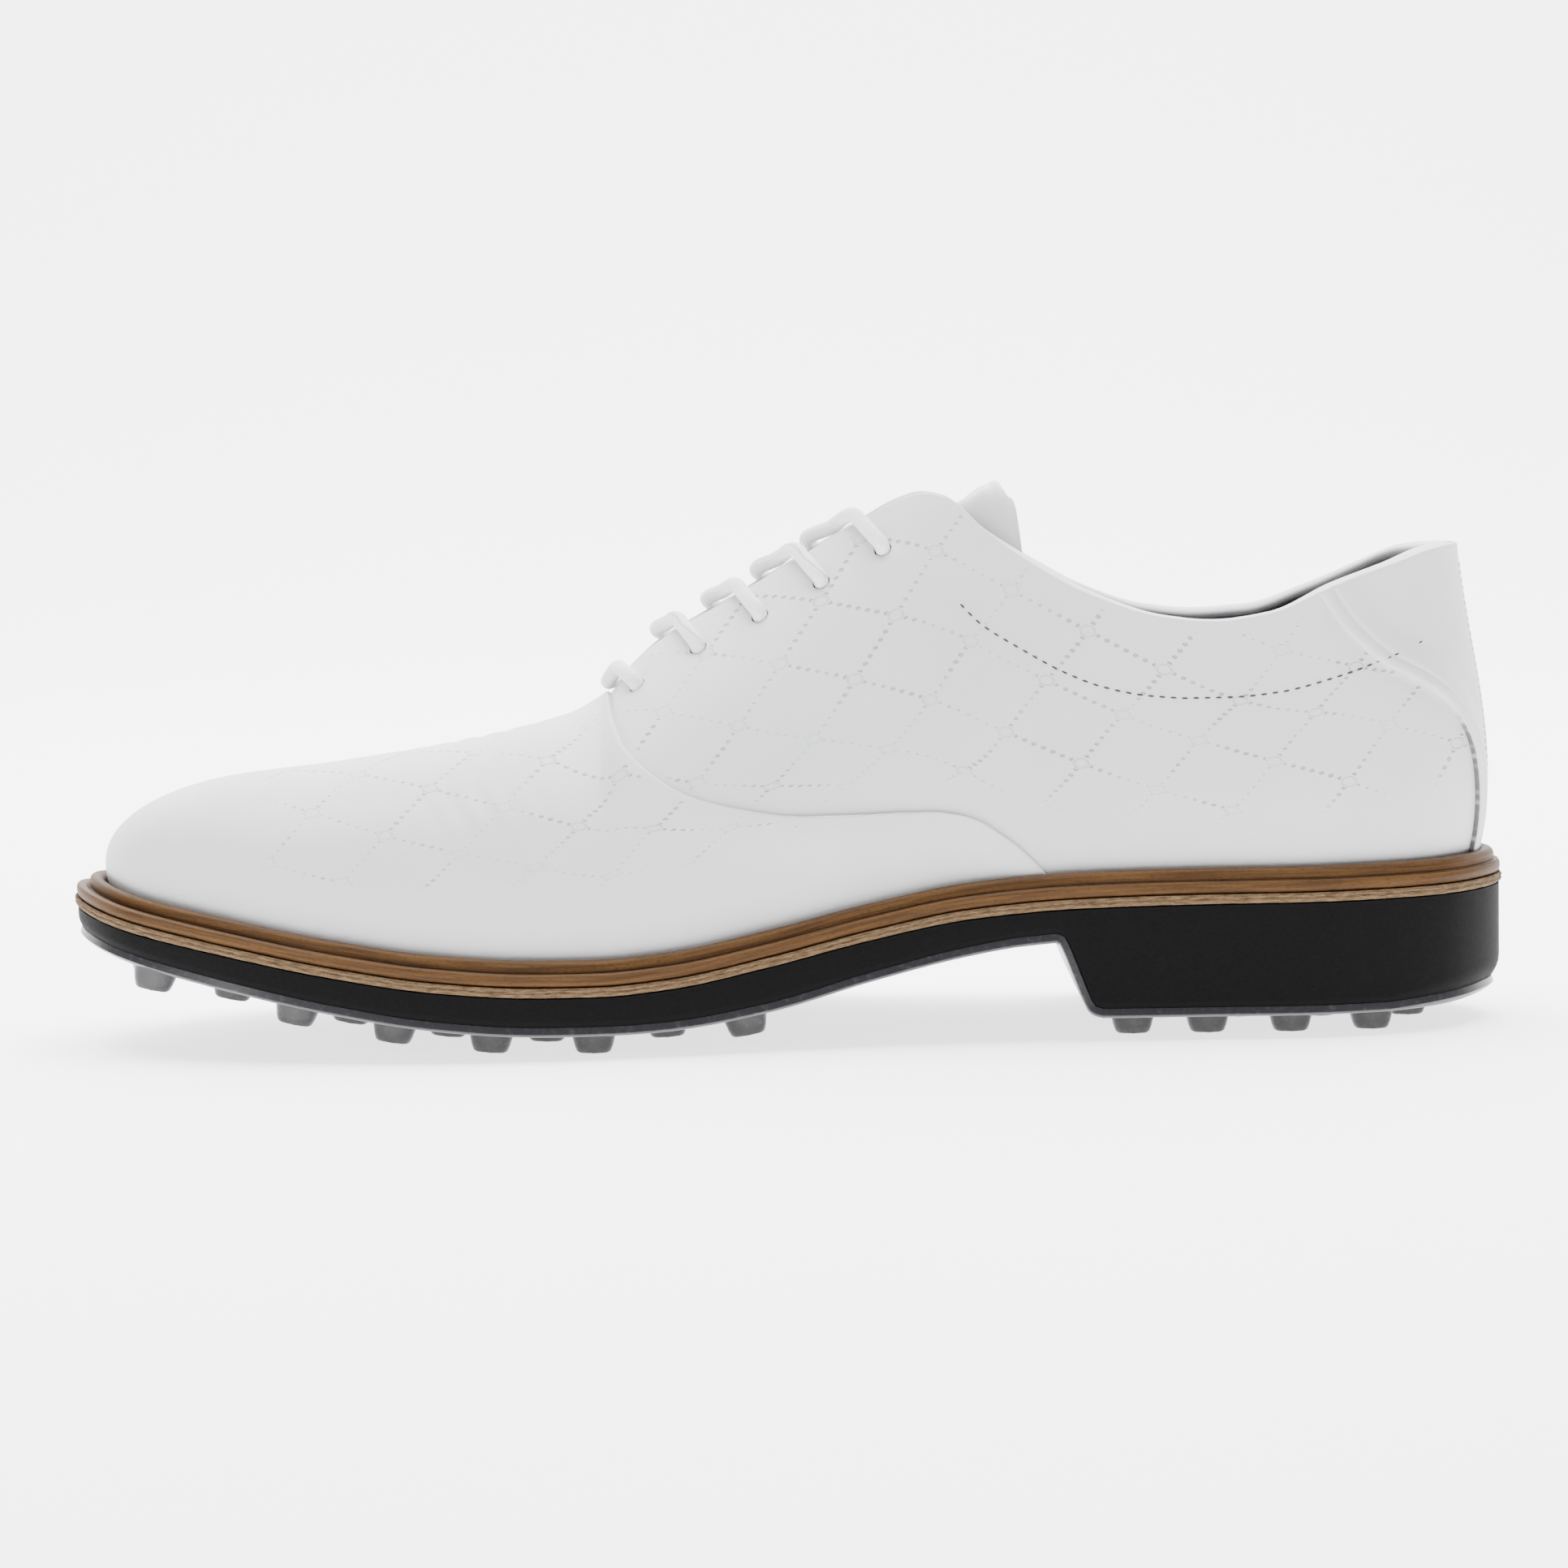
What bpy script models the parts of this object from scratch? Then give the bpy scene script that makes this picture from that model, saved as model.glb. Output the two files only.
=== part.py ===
"""A laced golf shoe for the right foot, modelled in metres.

The toe points along -X and the heel along +X, the inner side of the foot along -Y and
the outer side along +Y, and +Z is up. The lowest studs stand on Z = 0, and the origin
is under the middle of the shoe. Inside the script every size is in millimetres.

The shoe is built as it is in a factory: an upper of leather panels and linings lasted
over a foot shape, a welt, an insole board with its shank and fillers, a moulded
midsole with the heel block, an outsole with studs, a footbed, a tongue and a lace.
"""

import math

import bmesh
import bpy
import numpy as np
from mathutils import Matrix, Vector

MM = 0.001

# --- driving sizes, in millimetres -------------------------------------------------
LAST_LENGTH = 292.0
BALL_WIDTH = 93.0
TOE_MARGIN = 7.0
HEEL_MARGIN = 5.5
GAP = 0.3

# Heights above the ground of the welt's shelf, and how much it rises to toe and heel.
WELT_BALL_LEVEL = 17.8
WELT_TOE_RISE = 16.6
WELT_HEEL_RISE = 15.6

# The tread: the underside of the midsole at the ball and the heel, and its rises.
TREAD_LEVEL = 6.2
TREAD_TOE_RISE = 18.3
TREAD_WAIST_RISE = 15.5
BREAST_TOP = 0.692
BREAST_BOTTOM = 0.711
EDGE_ROUND = 2.2
TOE_ROUND = 3.2
HEEL_ROUND = 7.0

SHELF = 2.6
BEAD_RADIUS = 1.6
BEAD_CENTRE = 2.6
RUNNER = 1.8
WELT_INNER = -5.0
FILM = 1.2
STUD_DROP = 4.7
STUD_LENGTH = 9.6
STUD_WIDTH = 7.4

BOARD = 2.0
SHANK_WIDTH = 14.0
SHANK = 1.6
FOOTBED_FOAM = 3.5
FOOTBED_COVER = 1.0
FOOTBED_INSET = 6.6
FOOTBED_HINGE = FOOTBED_INSET / LAST_LENGTH

SKIN = 1.3
STIFFENER = 1.0
EYESTAY = 0.7
LINING = 0.8
COLLAR_PAD = 3.2
LACE_ROOM = 0.9
SEAM_GAP = 0.6

# Heights of the top of the foot above the ground, at the toe, instep and collar.
TOE_BOX_TOP = 57.3
THROAT_TOP = 70.6
INSTEP_TOP = 114.2
COLLAR_DIP = 87.0
HEEL_TOP = 101.7
HEEL_BULGE = 3.5
SIDE_BULGE = 2.4

# The layers are flat between their columns. The bow they miss grows steeply with the last's
# length, width and height, and the room between the layers grows with it.
LAYER_GAP = 4 * max(LAST_LENGTH / 584.0, BALL_WIDTH / 186.0, INSTEP_TOP / 228.4) ** 3

LACE_RADIUS = 1.5
LACING_SPACE = 2 * LACE_RADIUS + LAYER_GAP + LACE_ROOM
EYELET_RADIUS = LACE_RADIUS + LAYER_GAP + LACE_ROOM
EYELET_ROWS = 5
FIRST_EYELET = (0.387, 0.377)
EYELET_PITCH = (13.1, 11.1)
EYELET_INSET = 11.0
TAIL_LENGTH = 52.0
AGLET_LENGTH = 14.0
AGLET_RADIUS = 1.3

TONGUE_FACE = 1.0
TONGUE_FOAM = 2.6
TONGUE_BACK = 0.7
TONGUE_END = 27.0
TONGUE_SLOPE = math.radians(30.0)

TONGUE_ROOT = 0.285
TONGUE_LEAVES = 0.56
TONGUE_HALF_WIDTH = 18.0

MEDIAL, LATERAL = -1, 1


# --- curves ------------------------------------------------------------------------
def cubic(knots, values, slopes, at):
    """A cubic curve through values with given slopes at its knots."""
    at = np.clip(np.asarray(at, float), knots[0], knots[-1])
    i = np.clip(np.searchsorted(knots, at, side="right") - 1, 0, len(knots) - 2)
    span = knots[i + 1] - knots[i]
    f = (at - knots[i]) / span
    if values.ndim > 1:
        f, span = f[..., None], span[..., None]
    start = (1 + 2 * f) * (1 - f) ** 2 * values[i] + f * (1 - f) ** 2 * span * slopes[i]
    end = f * f * (3 - 2 * f) * values[i + 1] - f * f * (1 - f) * span * slopes[i + 1]
    return start + end


def smooth(points, at):
    """A smooth path through points, read at places given as lengths along its chords."""
    points = np.asarray(points, float)
    knots = chords(points)
    return cubic(knots, points, np.gradient(points, knots, axis=0), at)


def chords(points):
    """How far along the straight lines between points each point lies."""
    steps = np.linalg.norm(np.diff(points, axis=0), axis=1)
    return np.concatenate([[0.0], np.cumsum(steps)])


def table(rows, at):
    """A curve through rows of (place, values...) that never overshoots a value."""
    rows = np.asarray(rows, float)
    knots, values = rows[:, 0], rows[:, 1:]
    rise = np.diff(values, axis=0) / np.diff(knots)[:, None]
    before, after = rise[:-1], rise[1:]
    even = 2 * before * after / np.where(before * after > 0, before + after, 1)
    inner = np.where(before * after > 0, even, 0)
    slopes = np.concatenate([rise[:1], inner, rise[-1:]])
    found = cubic(knots, values, slopes, at)
    return found[..., 0] if values.shape[1] == 1 else found


# The feather line, where the upper meets the sole, anticlockwise from the toe: places
# along the last as shares of its length, and across it as shares of its ball width.
FEATHER = (
    (0.000, -0.085), (0.024, -0.285), (0.092, -0.419), (0.188, -0.484), (0.308, -0.500),
    (0.428, -0.441), (0.548, -0.362), (0.668, -0.328), (0.788, -0.328), (0.890, -0.318),
    (0.966, -0.210), (1.000, 0.000), (0.966, 0.220), (0.890, 0.333), (0.788, 0.366),
    (0.668, 0.392), (0.548, 0.435), (0.428, 0.484), (0.325, 0.500), (0.205, 0.446),
    (0.103, 0.317), (0.027, 0.113),
)
TOE_X = -(LAST_LENGTH + HEEL_MARGIN - TOE_MARGIN) / 2


def share(x):
    """Where a place lies along the last, from 0 at the toe to 1 at the heel."""
    return (np.asarray(x, float) - TOE_X) / LAST_LENGTH


def place(along):
    return TOE_X + along * LAST_LENGTH


def closed_outline():
    """The feather line as many points, with the direction that points out of it."""
    corners = np.array([(place(a), b * BALL_WIDTH) for a, b in FEATHER])
    ring = np.concatenate([corners[-3:], corners, corners[:4]])
    knots = chords(ring)
    points = smooth(ring, np.linspace(knots[3], knots[3 + len(corners)], 1600, endpoint=False))
    points[:, 1] -= (points[:, 1].max() + points[:, 1].min()) / 2
    ahead = np.roll(points, -1, axis=0) - np.roll(points, 1, axis=0)
    out = np.stack([ahead[:, 1], -ahead[:, 0]], axis=1)
    return points, out / np.linalg.norm(out, axis=1)[:, None]


OUTLINE, OUTWARD = closed_outline()


def edge(margin):
    """The outline moved outwards by a margin: its inner side and its outer side."""
    points = OUTLINE + OUTWARD * np.broadcast_to(margin, len(OUTLINE))[:, None]
    toe, heel = points[:, 0].argmin(), points[:, 0].argmax()
    order = np.roll(points, -toe, axis=0)
    turn = (heel - toe) % len(points)
    return order[: turn + 1], np.concatenate([order[turn:], order[:1]])[::-1]


def welt_margin():
    """How far the welt stands out from the upper, at each point of the outline."""
    return TOE_MARGIN + (HEEL_MARGIN - TOE_MARGIN) * np.clip(share(OUTLINE[:, 0]), 0, 1)


def edge_round():
    """The rounding of the midsole's lower edge, larger at the toe and the heel's back."""
    toe = np.clip(1 - share(OUTLINE[:, 0]) / 0.10, 0, 1)
    heel = np.clip((share(OUTLINE[:, 0]) - 0.92) / 0.07, 0, 1)
    return EDGE_ROUND + (TOE_ROUND - EDGE_ROUND) * toe + (HEEL_ROUND - EDGE_ROUND) * heel


# --- heights along the shoe --------------------------------------------------------
TOE_CURVE = (
    (-0.03, 1.03), (0.028, 0.79), (0.10, 0.54), (0.172, 0.29), (0.244, 0.10),
    (0.3125, 0.012), (0.3605, 0.0), (1.03, 0.0),
)
HEEL_CURVE = (
    (-0.03, 0.0), (0.3605, 0.0), (0.408, 0.06), (0.48, 0.30), (0.552, 0.60),
    (0.624, 0.845), (0.696, 0.95), (0.771, 0.985), (0.908, 1.0), (1.03, 1.02),
)
WAIST_CURVE = (
    (-0.03, 0.0), (0.375, 0.0), (0.408, 0.025), (0.48, 0.22), (0.552, 0.57),
    (0.624, 0.88), (0.668, 1.0), (0.72, 1.04), (1.03, 1.04),
)


def welt_level(x):
    """The height of the welt's shelf, on which the storm bead and the upper stand."""
    along = share(x)
    rise = WELT_TOE_RISE * table(TOE_CURVE, along) + WELT_HEEL_RISE * table(HEEL_CURVE, along)
    return WELT_BALL_LEVEL + rise


def above_welt(up):
    return lambda x: welt_level(x) + up


def waist_level(x):
    """The height of the midsole's underside in front of the heel breast."""
    along = share(x)
    return TREAD_LEVEL + TREAD_TOE_RISE * table(TOE_CURVE, along) + TREAD_WAIST_RISE * table(
        WAIST_CURVE, along)


FRONT = [place(a) for a in np.linspace(0.14, 0.67, 17)]
REAR = [place(a) for a in (0.76, 0.81, 0.86)]
BREAST = ((-0.36, 1.0), (-0.06, 0.96), (0.14, 0.82), (0.5, 0.5), (0.86, 0.18), (1.06, 0.04),
          (1.36, 0.0))


def tread(down):
    """The midsole's underside moved downwards by a depth: its places and its heights.

    It runs along the forefoot and waist, drops down the heel breast with a rounded
    corner at each end, and goes on flat under the heel.
    """
    top_x, bottom_x = place(BREAST_TOP), place(BREAST_BOTTOM)
    high = float(waist_level(top_x))
    line = [(x, float(waist_level(x))) for x in [place(0.11)] + FRONT]
    line += [(top_x + along * (bottom_x - top_x), TREAD_LEVEL + height * (high - TREAD_LEVEL))
             for along, height in BREAST]
    line = np.array(line + [(x, TREAD_LEVEL) for x in REAR + [place(0.90)]])
    slope = np.gradient(line, axis=0)
    normal = np.stack([slope[:, 1], -slope[:, 0]], axis=1)
    line += normal / np.linalg.norm(normal, axis=1)[:, None] * down

    def level(x):
        along = np.interp(x, line[:, 0], line[:, 1])
        return np.where(x < line[0, 0], waist_level(x) - waist_level(line[0, 0]) + line[0, 1], along)

    return line[1:-1, 0], level


# --- solids ------------------------------------------------------------------------
def material(name, colour, roughness, metallic=0.0):
    made = bpy.data.materials.new(name)
    made.use_nodes = True
    shader = made.node_tree.nodes["Principled BSDF"]
    shader.inputs["Base Color"].default_value = (*colour, 1.0)
    shader.inputs["Roughness"].default_value = roughness
    shader.inputs["Metallic"].default_value = metallic
    return made


def finish(name, bm, look, flat_angle=35.0):
    """Turns a closed bmesh in millimetres into a named object in metres."""
    bmesh.ops.remove_doubles(bm, verts=bm.verts, dist=1e-3)
    bmesh.ops.dissolve_degenerate(bm, edges=bm.edges, dist=1e-4)
    bmesh.ops.recalc_face_normals(bm, faces=bm.faces)
    bmesh.ops.scale(bm, vec=(MM, MM, MM), verts=bm.verts)
    mesh = bpy.data.meshes.new(name)
    bm.to_mesh(mesh)
    bm.free()
    mesh.shade_smooth()
    mesh.set_sharp_from_angle(angle=math.radians(flat_angle))
    mesh.materials.append(look)
    made = bpy.data.objects.new(name, mesh)
    bpy.context.scene.collection.objects.link(made)
    return made


def loop(margin, level, middle=None, start=None, stop=None):
    """One loop round the shoe, as its inner and outer sides from toe to heel.

    It stands a margin out from the feather line, at heights read from `level`. Its
    points are close together at the two round ends, and a start or stop cuts it square.
    """
    inner, outer = edge(margin)
    turn = np.linspace(0, math.pi / 2, 7)
    first, last = inner[0, 0], inner[-1, 0]
    toe = first + (place(0.11) - first) * (1 - np.cos(turn))
    heel = last - (last - place(0.90)) * (1 - np.cos(turn[::-1]))
    xs = np.concatenate([toe, FRONT + REAR if middle is None else middle, heel])
    if start is not None:
        xs = np.concatenate([[start], xs[xs > start + 1]])
    if stop is not None:
        xs = np.concatenate([xs[xs < stop - 1], [stop]])
    zs = level(xs)
    return [np.stack([xs, np.interp(xs, side[:, 0], side[:, 1]), zs], axis=1)
            for side in (inner, outer)]


def stack(name, loops, look, ring=False):
    """A solid through loops listed from top to bottom: capped, or a hollow ring."""
    bm = bmesh.new()
    rows = [[[bm.verts.new(p) for p in side] for side in one] for one in loops]
    pairs = list(zip(rows, rows[1:])) + ([(rows[-1], rows[0])] if ring else [])
    for (near_a, far_a), (near_b, far_b) in pairs:
        for i in range(len(near_a) - 1):
            bm.faces.new((near_a[i], near_b[i], near_b[i + 1], near_a[i + 1]))
            bm.faces.new((far_a[i], far_a[i + 1], far_b[i + 1], far_b[i]))
        for i in () if ring else (0, -1):
            bm.faces.new((near_a[i], far_a[i], far_b[i], near_b[i]))
    for near, far in () if ring else (rows[0], rows[-1]):
        for i in range(len(near) - 1):
            bm.faces.new((near[i], near[i + 1], far[i + 1], far[i]))
    return finish(name, bm, look)


def plate(name, margin, top, thick, look, start=None, stop=None):
    """A sheet of even thickness under a height above the welt, within the outline."""
    loops = [loop(margin, above_welt(z), start=start, stop=stop) for z in (top, top - thick)]
    return stack(name, loops, look)


# --- the last: the surface that the upper follows ----------------------------------
def feather_sides():
    """Both sides of the feather line at the same places, by share of the inner one."""
    inner, outer = edge(0.0)
    run = chords(inner)
    far_y = np.interp(inner[:, 0], outer[:, 0], outer[:, 1])
    sides = {MEDIAL: inner, LATERAL: np.stack([inner[:, 0], far_y], axis=1)}
    return run / run[-1], run[-1], sides


RUN, SIDE_LENGTH, SIDES = feather_sides()

# The top line, by the place on the feather line below it: how far it is shifted along
# the shoe, the share of the feather line's half width that it keeps, and its height.
INSTEP_RUN = INSTEP_TOP - THROAT_TOP
COLLAR_DROP = INSTEP_TOP - COLLAR_DIP
HEEL_RISE = HEEL_TOP - COLLAR_DIP
TOP_LINE = (
    (0.000, 39.0, 0.00, TOE_BOX_TOP),
    (0.086, 22.0, 0.00, TOE_BOX_TOP + 0.9),
    (0.172, 11.0, 0.00, TOE_BOX_TOP + 2.9),
    (0.258, 5.0, 0.00, TOE_BOX_TOP + 6.1),
    (0.325, 1.5, 0.00, TOE_BOX_TOP + 10.2),
    (0.360, 0.5, 0.00, THROAT_TOP),
    (0.382, 0.0, 0.09, THROAT_TOP + 0.17 * INSTEP_RUN),
    (0.404, 0.0, 0.11, THROAT_TOP + 0.30 * INSTEP_RUN),
    (0.456, 0.0, 0.14, THROAT_TOP + 0.50 * INSTEP_RUN),
    (0.552, 0.0, 0.20, THROAT_TOP + 0.87 * INSTEP_RUN),
    (0.578, 0.0, 0.22, THROAT_TOP + 0.965 * INSTEP_RUN),
    (0.597, 0.0, 0.25, INSTEP_TOP),
    (0.615, 0.0, 0.30, THROAT_TOP + 0.975 * INSTEP_RUN),
    (0.642, 0.0, 0.46, COLLAR_DIP + 0.70 * COLLAR_DROP),
    (0.676, 0.0, 0.63, COLLAR_DIP + 0.44 * COLLAR_DROP),
    (0.712, 0.0, 0.79, COLLAR_DIP + 0.225 * COLLAR_DROP),
    (0.764, 0.0, 0.91, COLLAR_DIP + 0.04 * COLLAR_DROP),
    (0.800, 0.0, 0.94, COLLAR_DIP),
    (0.842, -0.4, 0.95, COLLAR_DIP + 0.10 * HEEL_RISE),
    (0.892, -1.0, 0.94, COLLAR_DIP + 0.49 * HEEL_RISE),
    (0.935, -1.8, 0.92, COLLAR_DIP + 0.74 * HEEL_RISE),
    (0.978, -2.8, 0.90, COLLAR_DIP + 0.96 * HEEL_RISE),
    (1.000, -3.4, 0.89, HEEL_TOP),
)
MIDDLE = ((0.0, -8.0), (0.25, -4.0), (0.45, 0.0), (0.75, 1.5), (1.0, 0.0))
ARCH_END = ((0.0, 90.0), (0.28, 90.0), (0.36, 76.0), (0.42, 58.0), (0.50, 54.0), (1.0, 54.0))
WALL_BLEND = ((0.0, 0.0), (0.52, 0.0), (0.60, 0.25), (0.68, 0.75), (0.76, 1.0), (1.0, 1.0))
ARCH_POWER = 0.86


def last_surface(side, w, t):
    """Points on the last: w runs from toe to heel, t from the feather line to the top.

    Each wall line climbs like a quarter of a rounded arch in the forefoot and like a
    nearly upright wall at the collar, and swells outwards low down.
    """
    w, t = np.broadcast_arrays(np.asarray(w, float), np.asarray(t, float))
    line = SIDES[side]
    foot_x, foot_y = np.interp(w, RUN, line[:, 0]), np.interp(w, RUN, line[:, 1])
    along = share(foot_x)
    shift, keep, top_z = np.moveaxis(table(TOP_LINE, along), -1, 0)
    middle = table(MIDDLE, along)
    turn_end = np.radians(table(ARCH_END, along))
    turn = turn_end * t
    arch_in = (1 - np.cos(turn)) / (1 - np.cos(turn_end))
    arch_up = (np.sin(turn) / np.sin(turn_end)) ** ARCH_POWER
    wall = table(WALL_BLEND, along)
    inward = (1 - wall) * arch_in + wall * t ** 1.6
    upward = (1 - wall) * arch_up + wall * t
    ahead = [np.interp(w + 0.004, RUN, line[:, i]) - np.interp(w - 0.004, RUN, line[:, i])
             for i in (0, 1)]
    at_end = np.abs(w - 0.5) > 0.4999
    ahead_x = np.where(at_end, 0.0, ahead[0])
    ahead_y = np.where(at_end, side * (0.5 - w), ahead[1])
    length = np.hypot(ahead_x, ahead_y)
    bulge = SIDE_BULGE + (HEEL_BULGE - SIDE_BULGE) * np.clip((along - 0.8) / 0.2, 0, 1)
    swell = bulge * 6.75 * t * (1 - t) ** 2
    foot_z = welt_level(foot_x) + GAP
    x = foot_x + shift * inward - side * ahead_y / length * swell
    y = foot_y + (middle - foot_y) * (1 - keep) * inward + side * ahead_x / length * swell
    z = foot_z + (top_z - foot_z) * upward
    return np.stack([x, y, z], axis=-1)


def inside(side, w, t, depth):
    """A point below the last's surface by a depth; a negative depth is outside it."""
    step = 0.004
    w, t = np.clip(np.asarray(w, float), 0.012, 0.988), np.asarray(t, float)
    low, high = np.clip(t - step, 0.002, 0.99), np.clip(t + step, 0.012, 1.0)
    along = last_surface(side, w + step, t) - last_surface(side, w - step, t)
    up = last_surface(side, w, high) - last_surface(side, w, low)
    outward = np.cross(along, up) * -side
    outward /= np.linalg.norm(outward, axis=-1, keepdims=True)
    return last_surface(side, w, t) - outward * np.asarray(depth, float)[..., None]


def w_at(along):
    """The share of the feather line's run from the toe at which it reaches a place."""
    return np.interp(place(np.asarray(along, float)), SIDES[MEDIAL][:, 0], RUN)


def t_at(w, height):
    """The t at which a wall line on the inner side has climbed a share of its height."""
    t = np.linspace(0, 1, 201)
    z = last_surface(MEDIAL, np.full(201, float(w)), t)[:, 2]
    return float(np.interp(height, (z - z[0]) / (z[-1] - z[0]), t))


# The vamp's edge over the quarter, from the sole to the throat: the place along the
# last and the share of the upper's height there.
VAMP_SEAM = (
    (0.684, 0.0), (0.674, 0.06), (0.635, 0.185), (0.581, 0.229), (0.533, 0.277), (0.480, 0.354),
    (0.417, 0.513), (0.390, 0.655), (0.378, 0.77), (0.370, 0.91), (0.366, 1.0),
)
# The heel cover's front edge, from the sole to the collar: the share of the height, and
# the length along the feather line from the middle of the heel's back.
HEEL_SEAM = (
    (0.0, 11.0), (0.15, 12.0), (0.35, 14.5), (0.50, 21.0), (0.60, 29.0), (0.70, 38.0),
    (0.85, 46.0), (1.0, 51.0),
)
# Every layer of the upper has its corners at these rows and columns, so that the flat
# facets of one layer lie parallel to the next.
ROWS = np.array([0.0, 0.07, 0.13, 0.16, 0.19, 0.28, 0.40, 0.54, 0.70, 0.86, 1.0])
COLUMNS = np.concatenate([
    [0.0, 0.014, 0.038, 0.070], np.arange(0.11, 0.36, 0.042), [0.386, 0.404],
    np.arange(0.426, 0.84, 0.042),
    [0.872, 0.90, 0.925, 0.95, 0.975, 1.0],
])
SEAM_W = [float(w_at(along)) for along, _ in VAMP_SEAM]
SEAM_T = [t_at(w, height) for w, (_, height) in zip(SEAM_W, VAMP_SEAM)]
VAMP_END = np.interp(ROWS, SEAM_T, SEAM_W)
HEEL_START = 1 - table(HEEL_SEAM, ROWS) / SIDE_LENGTH


def patch(side, first, last, rows=ROWS):
    """Places (w, t) over part of one side, between two edges given for each row.

    The shared columns are kept, and those past an edge are drawn back onto it.
    """
    near = 0.35 * np.gradient(COLUMNS)
    first, last = (np.broadcast_to(end, len(ROWS))[:, None] for end in (first, last))
    w = np.broadcast_to(COLUMNS, (len(ROWS), len(COLUMNS)))
    w = np.where(w < first + near, first, w)
    w = np.where(w > last - near, last, w)
    chosen = np.isin(ROWS, rows)
    return side, w[chosen], np.broadcast_to(ROWS[:, None], w.shape)[chosen]


def sheet(name, patches, depth, thick, look):
    """A leather or lining panel over patches of the last, at a depth below its surface.

    The depth and the thickness are numbers, or functions of w and t.
    """
    bm = bmesh.new()
    layers = [bm.verts.layers.float.new(key) for key in ("depth", "thick")]
    for side, w, t in patches:
        points = last_surface(side, w, t)
        sizes = [size(w, t) if callable(size) else np.full(w.shape, size) for size in (depth, thick)]
        rows = []
        for j in range(len(points)):
            rows.append([bm.verts.new(p) for p in points[j]])
            for i, vert in enumerate(rows[j]):
                vert[layers[0]], vert[layers[1]] = sizes[0][j, i], sizes[1][j, i]
        for j in range(len(rows) - 1):
            for i in range(len(rows[j]) - 1):
                if (w[j:j + 2, i] < w[j:j + 2, i + 1]).any():
                    quad = (rows[j][i], rows[j][i + 1], rows[j + 1][i + 1], rows[j + 1][i])
                    bm.faces.new(quad if side == MEDIAL else quad[::-1])
    bmesh.ops.remove_doubles(bm, verts=bm.verts, dist=0.02)
    bmesh.ops.delete(bm, geom=[v for v in bm.verts if not v.link_faces], context="VERTS")
    bm.normal_update()
    rim = [(e.link_loops[0].vert, e.link_loops[0].link_loop_next.vert)
           for e in bm.edges if e.is_boundary]
    verts = list(bm.verts)
    copied = bmesh.ops.duplicate(bm, geom=verts + list(bm.edges) + list(bm.faces))
    twin = copied["vert_map"]
    bmesh.ops.reverse_faces(bm, faces=[f for f in copied["geom"] if isinstance(f, bmesh.types.BMFace)])
    for vert in verts:
        inward, other = -vert.normal.copy(), twin[vert]
        other.co = vert.co + inward * (vert[layers[0]] + vert[layers[1]])
        vert.co = vert.co + inward * vert[layers[0]]
    for a, b in rim:
        bm.faces.new((b, a, twin[a], twin[b]))
    return finish(name, bm, look)


def slab(name, outer, inner, look):
    """A closed solid between two grids of points that lie one over the other."""
    bm = bmesh.new()
    top, low = ([[bm.verts.new(p) for p in row] for row in grid] for grid in (outer, inner))
    rows, columns = len(top), len(top[0])
    for j in range(rows - 1):
        for i in range(columns - 1):
            for grid in (top, low):
                bm.faces.new((grid[j][i], grid[j][i + 1], grid[j + 1][i + 1], grid[j + 1][i]))
        for i in (0, columns - 1):
            bm.faces.new((top[j][i], top[j + 1][i], low[j + 1][i], low[j][i]))
    for j in (0, rows - 1):
        for i in range(columns - 1):
            bm.faces.new((top[j][i], top[j][i + 1], low[j][i + 1], low[j][i]))
    return finish(name, bm, look)


def boolean(target, tool, operation):
    """Cuts a solid by a tool, or joins the tool to it; the tool itself isn't a piece."""
    tool.hide_render = True
    tool.display_type = "WIRE"
    change = target.modifiers.new(operation.lower(), "BOOLEAN")
    change.operation = operation
    change.solver = "EXACT"
    change.object = tool


def pivot(name, x, z):
    """An empty on a hinge line that runs across the shoe."""
    made = bpy.data.objects.new(name, None)
    made.location = (x * MM, 0.0, z * MM)
    bpy.context.scene.collection.objects.link(made)
    return made


def hang(pieces, hinge):
    """Puts pieces under a hinge's empty without moving them, their origins on its line."""
    for piece in pieces:
        piece.data.transform(Matrix.Translation(-hinge.location))
        piece.parent = hinge


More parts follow.
